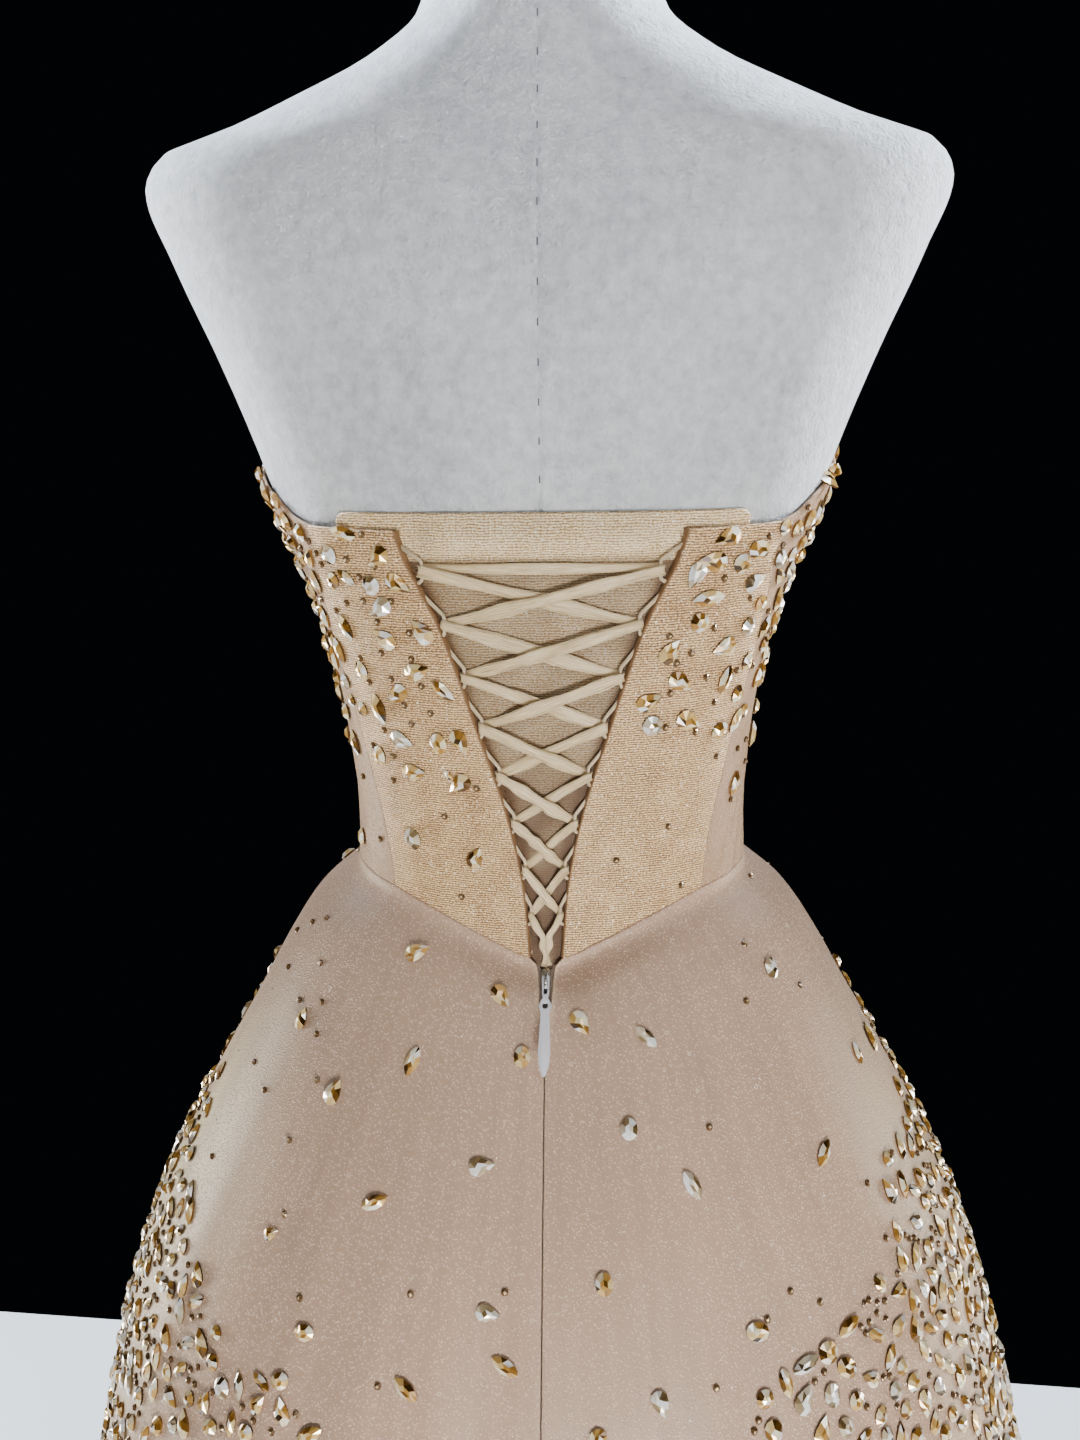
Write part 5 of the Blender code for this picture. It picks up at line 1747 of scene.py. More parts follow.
    def turn(self, side: int, tip: tuple) -> list[tuple]:
        """Round one upright tip, from behind it to before it.

        Args:
            side: Sign of x.
            tip: The tip.

        Returns:
            The places, as strand gives them.
        """
        centre = 0.5 * (self.front_out + self.back_out)
        radius = 0.5 * (self.front_out - self.back_out)
        return [(tip[0] + side * radius * math.sin(a), tip[1] + self.turn_drop * (0.5 - a / math.pi),
                 centre - radius * math.cos(a), 0.0, 0) for a in np.linspace(0.0, math.pi, 5)]

    def half(self, first: int, word: str) -> list[tuple]:
        """Half the ribbon, from behind the top tip down.

        Args:
            first: Sign of x of the top tip.
            word: The half's letter in cross_front.

        Returns:
            The places, as strand gives them.
        """
        places = []
        for k in range(self.loops):
            side = first if k % 2 == 0 else -first
            places += self.turn(side, self.tip(side, k))
            if k < self.loops - 1:
                places += self.strand(self.tip(side, k), self.tip(-side, k + 1), self.cross_front[k] == word)
        return places

    def tail(self, side: int, tip: tuple, facing: int) -> list[tuple]:
        """Free end tucked down behind the top of the zip.

        Args:
            side: Sign of x of the last tip.
            tip: The last tip.
            facing: Which way the ribbon runs there.

        Returns:
            The places, as strand gives them.
        """
        end_x, end_z = side * self.tuck[0], float(FIGURE.waist(0.0)) - self.tuck[1]
        places = []
        for s, bend in self.tail_steps:
            x = tip[0] + (end_x - tip[0]) * float(ease(s * 1.5)) + side * bend
            out = self.front_out + side * self.tail_apart + (self.tuck[2] - self.front_out) * float(ease(s))
            places.append((x, tip[1] + (end_z - tip[1]) * s, out, 1.0, facing))
        return places

    def chain(self) -> list[tuple]:
        """The ribbon, from one tucked end to the other.

        Returns:
            The places, as strand gives them.
        """
        last = self.loops - 1
        side = 1 if last % 2 == 0 else -1
        left, right = self.tip(1, 0), self.tip(-1, 0)
        top = [(left[0] + (right[0] - left[0]) * s, left[1] + 0.0008, self.back_out, 0.0, 0)
               for s in self.top_steps]
        return (self.tail(side, self.tip(side, last), side)[::-1] + self.half(1, "B")[::-1] + top
                + self.half(-1, "A") + self.tail(-side, self.tip(-side, last), side))

    def build_ribbon(self, satin: Material) -> None:
        """The flat ribbon, slightly cupped and puckered along its sewn edges.

        Args:
            satin: Its material.
        """
        chain = self.chain()
        points = np.array([FIGURE.back(x, z, out) for x, z, out, _, _ in chain])
        wides, spans, flats = [], [], []
        for k, (x, z, out, flat, facing) in enumerate(chain):
            heading = unit(points[min(k + 1, len(chain) - 1)] - points[max(k - 1, 0)])
            up = unit(FIGURE.back(x, z + 0.003, out) - FIGURE.back(x, z - 0.003, out))
            if facing:
                normal = unit(np.cross(up, (facing, 0.0, 0.0)))
                wide = unit(np.cross(heading, normal))
            else:
                normal = unit(np.cross(up, heading - up * (heading @ up)))
                slanted = unit(np.cross(heading, normal))
                wide = unit(up + (slanted - up) * 0.85 * flat)
            if wides and wide @ wides[-1] < 0:
                wide = -wide
            wides.append(wide)
            flats.append([flat])
            spread = min(1.0, max(0.0, (z - float(FIGURE.waist(0.0))) / 0.08))
            uneven = 0.94 + 0.17 * math.sin(410.0 * x + 530.0 * z)
            spans.append(self.wide * uneven * (self.gather + (1 - self.gather) * spread)
                         * (self.at_tips + (1 - self.at_tips) * flat))
        line = catmull(points, self.curve_steps)
        wide_axis = unit(catmull(np.array(wides), self.curve_steps))
        heading = unit(np.gradient(line, axis=0))
        normal = unit(np.cross(heading, wide_axis))
        wide_axis = unit(np.cross(normal, heading))
        span = catmull(np.array(spans)[:, None], self.curve_steps)[:, 0]
        run = path_run(line)
        roll = self.roll * np.clip(catmull(np.array(flats), self.curve_steps), 0.0, 1.0)
        roll = roll * (np.sin(run * 63.0 + 0.8) + 0.6 * np.sin(run * 141.0))[:, None]
        wide_axis, normal = (wide_axis * np.cos(roll) + normal * np.sin(roll),
                             normal * np.cos(roll) - wide_axis * np.sin(roll))
        across = np.array(self.across)
        rounding = np.sqrt(np.clip(1.0 - np.abs(across) ** 8, 0.02, 1.0))
        top = np.stack([across, rounding], axis=-1)
        ring = np.concatenate([top, np.stack([across[::-1], -rounding[::-1]], axis=-1)])
        obj = sweep("corset_ribbon", line, wide_axis * (0.5 * span)[:, None],
                    normal * (0.5 * self.thick), ring)
        edge = np.abs(ring[None, :, 0]) ** 2
        phase = run[:, None] * math.tau / self.pucker_pitch
        shift = self.pucker * edge * np.sin(phase + 0.9 * np.sign(ring[None, :, 0]))
        shift += self.cup * (edge - 0.3) * np.sin(run[:, None] * 57.0 + 1.0) - 0.00025 * edge
        moved = (normal[:, None, :] * shift[:, :, None]).reshape(-1, 3)
        flat = np.zeros(len(obj.data.vertices) * 3, np.float32)
        obj.data.vertices.foreach_get("co", flat)
        obj.data.vertices.foreach_set("co", (flat.reshape(-1, 3) + moved).ravel().astype(np.float32))
        obj.data.update()
        LOG.info("corset ribbon: %.2f m long", run[-1])
        finish_piece(obj, satin, "lace_satin", "corset_lace")

    def dress(self) -> None:
        """Build and finish the cords and the ribbon."""
        cord = SatinRibbon("cream_rouleau_satin", "DCC8A4", "A88E66", False).make()
        for side in Side:
            self.build_loops(side, cord)
        self.build_ribbon(SatinRibbon("cream_ribbon_satin", "EED6A6", "8C6A38", True).make())


# ---------------------------------------------------------------- skirt
@dataclass
class Skirt(ClothShell):
    """Two back panels and a front panel that flare from the waist seam to the hem."""

    # Columns: depth below the waist seam, half width, front depth, back depth.
    table: tuple = (
        (0.000, 0.1100, 0.0885, 0.0820), (0.012, 0.1190, 0.0955, 0.0963), (0.030, 0.1390, 0.1092, 0.1107),
        (0.055, 0.1560, 0.1240, 0.1265), (0.090, 0.1757, 0.1430, 0.1473), (0.140, 0.2045, 0.1716, 0.1756),
        (0.200, 0.2370, 0.2045, 0.2052), (0.280, 0.2656, 0.2360, 0.2344), (0.360, 0.2863, 0.2600, 0.2570),
        (0.480, 0.3140, 0.2925, 0.2896), (0.640, 0.3513, 0.3325, 0.3306), (0.820, 0.3942, 0.3788, 0.3773),
        (1.040, 0.4480, 0.4330, 0.4330))
    square: float = 2.1
    wall: float = 0.0022
    thick: float = 0.0014
    long: float = 1.040
    seam: float = 0.225
    seam_gap: float = 0.0001
    half_round: float = 0.400
    top_blend: float = 0.016
    folds: int = 17
    fold_start: float = 0.24
    fold_deep: float = 0.0125
    gathers: int = 92
    gather_deep: float = 0.00024
    lip_rise: float = 0.0009
    lip_reach: float = 0.0022
    waist_left: float = 0.25
    held: str = "hung"
    # Power that sets the rows closer at the top.
    closer: float = 1.45
    rim_round: float = 0.0014
    cloth_round: float = 1.9
    slit_steps: int = 400
    back_cells: tuple[int, float] = (110, 0.35)
    front_cells: tuple[int, float] = (156, 0.8)
    slit_table: tuple = ((0.0, 0.0085), (0.004, 0.0045), (0.0120, 0.0036), (0.020, 0.0024),
                         (0.030, 0.0008), (0.041, 0.0003), (1.050, 0.0003))
    rows: int = 148
    rings: RingStack = field(init=False)
    slit_depths: Array = field(init=False)
    slit_shares: Array = field(init=False)

    def __post_init__(self) -> None:
        """Work out the rings and the slit's place round once."""
        keys = np.concatenate([np.linspace(0.0, 0.06, 31), np.linspace(0.065, self.long, 160)])
        rings = [half_ring(*row, self.square, self.square) for row in smooth(self.table, keys)]
        self.rings = RingStack.of(keys, rings)
        self.slit_depths = np.linspace(0.0, self.long, self.slit_steps)
        self.slit_shares = self.share_at_x(lookup(self.slit_table, self.slit_depths), self.slit_depths)

    def fold(self, u: Array, depth: Array) -> Array:
        """Soft uneven folds that grow towards the hem.

        Args:
            u: Places round.
            depth: Depths.

        Returns:
            How far they stand out.
        """
        grow = ease((depth - self.fold_start) / 0.75) * self.fold_deep
        angle = math.tau * u
        wave = np.cos(self.folds * angle + 0.9 * np.sin(2.0 * angle + 0.6) + 0.5 * np.sin(5.0 * angle))
        return grow * wave * (0.72 + 0.28 * np.sin(3.0 * angle + 1.1))

    def relief(self, u: Array, depth: Array) -> Array:
        """Fine gathers under the waist seam, and slight waves of the tulle lower down.

        Args:
            u: Places round.
            depth: Depths.

        Returns:
            The heights above the plain wall.
        """
        phase = math.tau * u * self.gathers + 1.7 * np.sin(math.tau * u * 9.0) + 3.0 * depth
        reach = 0.055 + 0.035 * np.sin(math.tau * u * 13.0 + 0.8)
        fade = ease(depth / 0.006) * (1.0 - ease((depth - 0.006) / reach))
        flank = 0.15 + 0.85 * ease((np.abs(u) - 0.05) / 0.10)
        fine = self.gather_deep * np.sin(phase) * fade * flank * (0.5 + 0.5 * np.sin(math.tau * u * 31.0))
        wave = np.sin(math.tau * u * 26.0 + 1.4 * np.sin(depth * 9.0)) * np.sin(math.tau * u * 7.0 + 1.0)
        away = self.from_slit(u, depth)
        lip = self.lip_rise * np.exp(-(away / self.lip_reach) ** 2) * (1.0 - ease((depth - 0.030) / 0.020))
        return fine + 0.0011 * wave * ease((depth - 0.03) / 0.2) + lip

    def slit(self, depth: Array) -> Array:
        """Place round of the slit's edge at a depth."""
        return np.interp(depth, self.slit_depths, self.slit_shares)

    def from_slit(self, u: Array, depth: Array) -> Array:
        """Distance round from the slit's edge."""
        return (np.abs(u) - self.slit(depth)) * 2.0 * self.half_round

    def at(self, u: Array, depth: Array, out: Array) -> Array:
        """World points of the skirt.

        Args:
            u: Places round.
            depth: Depths below the waist seam.
            out: Distances off its inner face.

        Returns:
            The points.
        """
        u, depth, out = np.broadcast_arrays(*(np.asarray(values, float) for values in (u, depth, out)))
        seam = FIGURE.waist(u) - self.seam_gap
        z = seam + (HEM_CLEAR - WAIST_Z - seam) * depth / self.long
        top_x, top_y = FIGURE.rings.at(u, seam, FIGURE.bodice_gap(u, seam) + out)
        x, y = self.rings.at(u, depth, out - self.wall + self.fold(u, depth))
        share = ease(depth / self.top_blend)
        return np.stack([top_x + (x - top_x) * share, top_y + (y - top_y) * share, z + WAIST_Z], axis=-1)

    def share_at_x(self, x: Array, depth: Array) -> Array:
        """Place round of the outer face near the centre back.

        Args:
            x: The x.
            depth: The depths.

        Returns:
            The places round.
        """
        low, high = np.zeros(np.shape(depth)), np.full(np.shape(depth), 0.2)
        for _ in range(36):
            middle = 0.5 * (low + high)
            less = self.at(middle, depth, self.wall)[..., 0] < x
            low, high = np.where(less, middle, low), np.where(less, high, middle)
        return 0.5 * (low + high)

    def glow(self, u: Array, depth: Array) -> Array:
        """How much pale satin colour is mixed in, as satin showing through the tulle and painted sheen: most
        on the flanks, less on the wearer's right, low down and along the slit's lips.

        Args:
            u: Places round.
            depth: Depths.

        Returns:
            The shares, from 0 to 1.
        """
        flank = np.exp(-((np.abs(u) - 0.205) / 0.045) ** 2)
        high = ease((depth - 0.05) / 0.10) * (1.0 - 0.45 * ease((depth - 0.22) / 0.2))
        low = 0.35 * ease((depth - 0.45) / 0.4)
        band = 0.5 + 0.5 * np.sin(math.tau * u * 21.0 + 2.0 * np.sin(math.tau * u * 5.0))
        lip = np.exp(-(self.from_slit(u, depth) / self.lip_reach) ** 4)
        lip = lip * (1.0 - ease((depth - 0.030) / 0.015))
        # Painted sheen: the wearer's right flank takes less than the left.
        left = np.where(u > 0, 1.0, 0.45)
        return np.clip(0.95 * left * flank * high * (0.6 + 0.4 * band) + low * band + 0.3 * lip, 0.0, 1.0)

    def panel(self, node: str, tulle: Material, place: Callable, cells: tuple[int, float]) -> None:
        """Build and finish one panel.

        Args:
            node: The solid it replaces.
            tulle: Its material.
            place: Gives the place round from the depth and the share across.
            cells: Columns between the rounded edges, and its usual width for the rounding.
        """
        columns, length = cells
        row, column = grid(spaced(self.rows, self.long)[::-1], spaced(columns, length))
        depth = self.long * row ** self.closer
        u = place(depth, column)
        relief = self.relief(u, depth)
        left = (rounded(column, length), rounded(row ** self.closer, self.long, self.rim_round))
        obj = self.sew(f"{node}_cloth", (u, depth), self.wall - self.thick, left,
                       (relief, INNER_RELIEF * relief), (u * self.cloth_round, -depth))
        # Pale satin and painted sheen, mixed into the tulle's colour.
        set_attribute(obj, "satin_glow", np.tile(self.glow(u, depth).ravel(), 2))
        finish_piece(obj, tulle, "tulle_over_satin", node)

    def build(self, tulle: Material) -> None:
        """Build and finish the three panels.

        Args:
            tulle: Their material.
        """
        gap = 0.5 * self.seam_gap / self.half_round
        first = self.seam + gap

        def on_back(side: Side, depth: Array, share: Array) -> Array:
            """Place round on a back panel."""
            away = share if side is Side.RIGHT else 1.0 - share
            inner = self.slit(depth)
            return side.value * (inner + (self.seam - gap - inner) * away)

        def on_front(_: Array, share: Array) -> Array:
            """Place round on the front panel."""
            place = first + (1.0 - 2.0 * first) * share
            return np.where(place <= 0.5, -place, 1.0 - place)

        for side in Side:
            self.panel(f"skirt_back_{side.word}", tulle, partial(on_back, side), self.back_cells)
        self.panel("skirt_front", tulle, on_front, self.front_cells)


# ---------------------------------------------------------------- zip
@dataclass
class Zip:
    """Tapes in the open top of the back seam, coil teeth, slider and pull."""

    skirt: Skirt
    tape_wide: float = 0.0110
    tape_thick: float = 0.0010
    tape_gap: float = 0.0008
    tape_top: float = 0.0012
    tape_low: float = 0.206
    tape_shows: float = 0.0011
    tooth_pitch: float = 0.00095
    tooth_radius: float = 0.00042
    tooth_in: float = 0.0002
    tooth_least: float = 0.0009
    tooth_out: float = 0.0001
    line_points: int = 40
    soft_edge: float = 0.00022
    weld: float = 0.000004
    flat_angle: float = math.radians(1.5)
    round_angle: float = math.radians(28.0)
    sharp_angle: float = math.radians(38.0)
    tooth_shape: tuple[float, float, float] = (1.6, 1.0, 0.8)
    teeth_reach: tuple[float, float] = (0.0065, 0.040)

    def edge_x(self, depth: Array) -> Array:
        """Half distance between the two tapes' inner edges."""
        return np.maximum(lookup(self.skirt.slit_table, depth) - self.tape_shows, 0.0003)

    def build_tape(self, side: Side, weave: Material) -> None:
        """One tape, as far down as the zip goes.

        Args:
            side: Its side.
            weave: Its material.
        """
        depth = np.linspace(self.tape_low, self.tape_top, 70)
        across = np.linspace(0.0, 1.0, 7)
        row, column = grid(depth, across if side is Side.RIGHT else 1.0 - across)
        u = side.value * self.skirt.share_at_x(self.edge_x(row) + self.tape_wide * column, row)
        outer = self.skirt.at(u, row, -self.tape_gap)
        inner = self.skirt.at(u, row, -self.tape_gap - self.tape_thick)
        uv = np.stack([column * self.tape_wide, -row], axis=-1)
        obj = cloth_wall(f"zip_tape_{side.word}_weave", outer, inner, uv)
        finish_piece(obj, weave, "zip_tape", f"zip_tape_{side.word}")

    def build_teeth(self, side: Side, nylon: Material) -> None:
        """Coil teeth along the tape's inner edge above the slider.

        Args:
            side: The tape's side.
            nylon: Their material.
        """
        recipe = NodeRecipe("coil_teeth", ("Pitch", "Tooth radius"))
        add, given = recipe.add, recipe.given
        points = add("GeometryNodeCurveToPoints", {0: given[0], "Length": given["Pitch"]}, mode="LENGTH")
        tooth = add("GeometryNodeMeshUVSphere", {
            "Segments": 8, "Rings": 5, "Radius": given["Tooth radius"]})
        recipe.close(add("GeometryNodeInstanceOnPoints", {
            "Points": points, "Instance": tooth, "Scale": self.tooth_shape}))
        depths = np.linspace(*self.teeth_reach, self.line_points)
        u = self.skirt.share_at_x(np.maximum(self.edge_x(depths) - self.tooth_in, self.tooth_least), depths)
        places = self.skirt.at(side.value * u, depths, -self.tape_gap + self.tooth_out)
        made = recipe.run(line_object("teeth_line", places), f"zip_teeth_{side.word}",
                          self.tooth_pitch, self.tooth_radius, nylon)
        finish_piece(made, nylon, "zip_tape")

    def soften(self, node: str, name: str) -> Object:
        """Copy of a solid with its flat faces joined and its edges rounded.

        Args:
            node: The solid.
            name: The copy's name.

        Returns:
            The copy.
        """
        mesh = frame["nodes"][node].data.copy()
        shape = bmesh.new()
        shape.from_mesh(mesh)
        bmesh.ops.remove_doubles(shape, verts=shape.verts, dist=self.weld)
        bmesh.ops.dissolve_limit(shape, angle_limit=self.flat_angle, verts=shape.verts, edges=shape.edges)
        shape.to_mesh(mesh)
        shape.free()
        holder = link_object(name + "_holder", mesh)
        bevel = holder.modifiers.new("round", "BEVEL")
        bevel.width = self.soft_edge
        bevel.segments = 3
        bevel.limit_method = "ANGLE"
        bevel.angle_limit = self.round_angle
        obj = bake(name, holder)
        obj.data.polygons.foreach_set("use_smooth", [True] * len(obj.data.polygons))
        obj.data.set_sharp_from_angle(angle=self.sharp_angle)
        return obj

    def dress(self) -> None:
        """Build and finish the zip."""
        weave = Woven().make()
        nylon = Plain("coil_nylon", "B7A594", "9C8A79", 0.45, 600.0).make()
        for side in Side:
            self.build_tape(side, weave)
            self.build_teeth(side, nylon)
        nickel = Metal("nickel_plate", "C9C7C4", 0.22, 1500.0).make()
        finish_piece(self.soften("zip_slider", "zip_slider_cast"), nickel, "slider_metal", "zip_slider")
        finish_piece(self.soften("zip_pull", "zip_pull_tab"), Enamel().make(), "pull_enamel", "zip_pull",
                     carrier=Carrier.PULL)


# ---------------------------------------------------------------- stones, beads and sequins
@dataclass(frozen=True)
class Placed:
    """A stone set where the photograph shows it.

    across and down are picture points; turn is the pointed end's direction in degrees,
    anticlockwise from the picture's right; size is a share of the cut's usual size.
    """

    across: float
    down: float
    cut: Cut
    turn: float = 0.0
    size: float = 1.0


P, N, O, R = Cut.PEAR, Cut.NAVETTE, Cut.OVAL, Cut.ROUND
BACK_STONES = tuple(Placed(*row) for row in (
    # Left back of the bodice.
    (344, 533, N, 175), (330, 554, R), (378, 557, P, 215), (334, 580, R, 0, 0.9), (347, 577, N, 330, 0.8),
    (372, 585, R), (399, 584, P, 335), (381, 608, P, 215), (347, 627, N, 115), (385, 638, P, 150),
    (422, 631, P, 130, 1.05), (341, 650, N, 105), (418, 671, P, 20), (363, 670, O, 95, 0.9),
    (443, 690, N, 320), (398, 694, P, 215), (347, 681, R, 0, 0.9), (380, 708, N, 98, 1.2),
    (364, 709, R, 0, 0.8), (403, 740, P, 350), (439, 743, O, 90), (461, 742, P, 290), (357, 742, N, 100),
    (381, 755, O, 75), (415, 772, P, 10), (460, 784, P, 220), (449, 776, N, 120, 0.55),
    (414, 838, O, 90, 1.1), (364, 836, O, 95, 0.9), (476, 857, P, 65, 0.9), (301, 532, O, 95, 0.9),
    (304, 558, R, 0, 0.85), (314, 588, O, 90, 0.9), (326, 616, N, 105, 0.9), (334, 640, N, 110, 0.8),
    (353, 700, R, 0, 0.7),
    # Right back of the bodice.
    (727, 537, P, 200), (712, 561, P, 170, 1.1), (695, 575, P, 250), (758, 549, O, 350, 1.1), (741, 563, R),
    (754, 581, P, 20, 0.95), (796, 529, O, 95, 0.9), (779, 558, R, 0, 0.95), (791, 554, R, 0, 0.8),
    (801, 542, R, 0, 0.8), (708, 598, N, 5, 1.15), (760, 603, R, 0, 0.9), (699, 622, R),
    (747, 626, R, 0, 0.95), (773, 618, R, 0, 0.9), (670, 651, P, 55), (723, 647, P, 190, 1.05),
    (746, 661, O, 90, 0.9), (724, 679, N, 80, 1.1), (680, 682, P, 325), (736, 693, O, 85, 0.9),
    (649, 701, P, 25), (652, 725, R, 0, 1.05), (688, 721, P, 330, 1.1), (718, 730, O, 20),
    (734, 720, N, 70), (742, 711, O, 70, 0.8), (733, 783, N, 85), (762, 644, O, 80, 0.8),
    (787, 590, N, 70, 0.8), (776, 636, O, 80, 0.7),
    # Middle of the back skirt.
    (418, 952, P, 20), (501, 997, P, 300, 0.95), (581, 1024, P, 305), (646, 1037, N, 135, 0.95),
    (522, 1057, O, 90, 0.95), (413, 1061, N, 70, 1.05), (335, 1091, P, 60, 1.05), (770, 968, O, 90),
    (303, 1018, P, 80, 0.9), (856, 1053, N, 95, 0.9), (629, 1129, O, 90, 0.95), (692, 1185, N, 300, 1.05),
    (482, 1166, P, 10, 0.95), (375, 1202, N, 20), (823, 1153, N, 50, 1.05), (604, 1284, O, 95, 0.95),
    (488, 1313, P, 350, 0.85), (505, 1366, N, 330), (406, 1389, N, 320), (661, 1404, P, 290, 0.9),
    (757, 1331, O, 355), (272, 1233, P, 20, 0.7), (848, 1326, N, 30), (305, 1332, O, 0, 0.9),
    (222, 1071, N, 60, 0.9), (281, 1380, O, 20, 0.9), (240, 1386, N, 100, 0.9), (217, 1332, O, 350, 0.8)))
BACK_BEADS = (
    (362, 534), (347, 559), (375, 566), (360, 577), (364, 601), (392, 601), (347, 603), (337, 610),
    (378, 622), (410, 633), (382, 653), (412, 659), (361, 658), (422, 686), (392, 679), (370, 682),
    (405, 705), (431, 713), (385, 730), (412, 724), (374, 745), (394, 756), (477, 788), (394, 780),
    (445, 816), (381, 839), (462, 896), (364, 776), (317, 553), (322, 564), (769, 536), (724, 578),
    (750, 598), (714, 628), (669, 636), (676, 663), (691, 653), (736, 670), (706, 677), (714, 702),
    (670, 693), (665, 727), (695, 732), (737, 748), (716, 756), (745, 739), (744, 761), (730, 799),
    (668, 826), (616, 860), (681, 885), (327, 918), (313, 922), (321, 963), (322, 1002), (317, 1034),
    (318, 1080), (744, 944), (746, 1001), (750, 876), (800, 985), (290, 1140), (265, 1090), (285, 1214),
    (300, 1298), (411, 1294), (378, 1386), (505, 1292), (709, 1127), (790, 1291), (820, 1302), (767, 1319),
    (716, 1388), (867, 1183), (255, 1062), (298, 930), (289, 967), (300, 1000))
# Where the crowded flanks begin in the picture.  Columns: down, across.
LEFT_CROWD = ((1040, 222), (1070, 226), (1160, 207), (1250, 215), (1300, 214), (1350, 250), (1400, 300),
              (1440, 335))
RIGHT_CROWD = ((955, 842), (1000, 862), (1060, 893), (1130, 900), (1200, 882), (1290, 858), (1340, 815),
               (1400, 740), (1440, 715))


@dataclass
class StoneField:
    """Places for stones and beads on a set of cloth panels, at least a set distance apart."""

    places: list = field(default_factory=list)
    cells: dict = field(default_factory=dict)
    cell: float = 0.012

    def key(self, point: Array) -> tuple:
        """The cell that a point lies in."""
        return tuple(int(c) for c in np.floor(point / self.cell))

    def near(self, point: Array, reach: float) -> bool:
        """Whether a stone already lies within reach of a point.

        Args:
            point: The point.
            reach: The distance.

        Returns:
            True where one does.
        """
        around = product(*((c - 1, c, c + 1) for c in self.key(point)))
        return any(np.linalg.norm(other - point) < reach + size
                   for cell in around for other, size in self.cells.get(cell, ()))

    def add(self, point: Array, normal: Array, along: Array, cut: Cut, size: float,
            radius: float, tint: float) -> None:
        """Keep one stone.

        Args:
            point: Its place.
            normal: The cloth's direction there.
            along: Direction of its pointed end.
            cut: Its shape.
            size: Share of the cut's usual size.
            radius: Room that it keeps round it.
            tint: Its own tint, from 0 to 1.
        """
        along = unit(along - normal * (along @ normal))
        self.places.append((point, normal, along, cut, size, tint))
        self.cells.setdefault(self.key(point), []).append((point, radius))


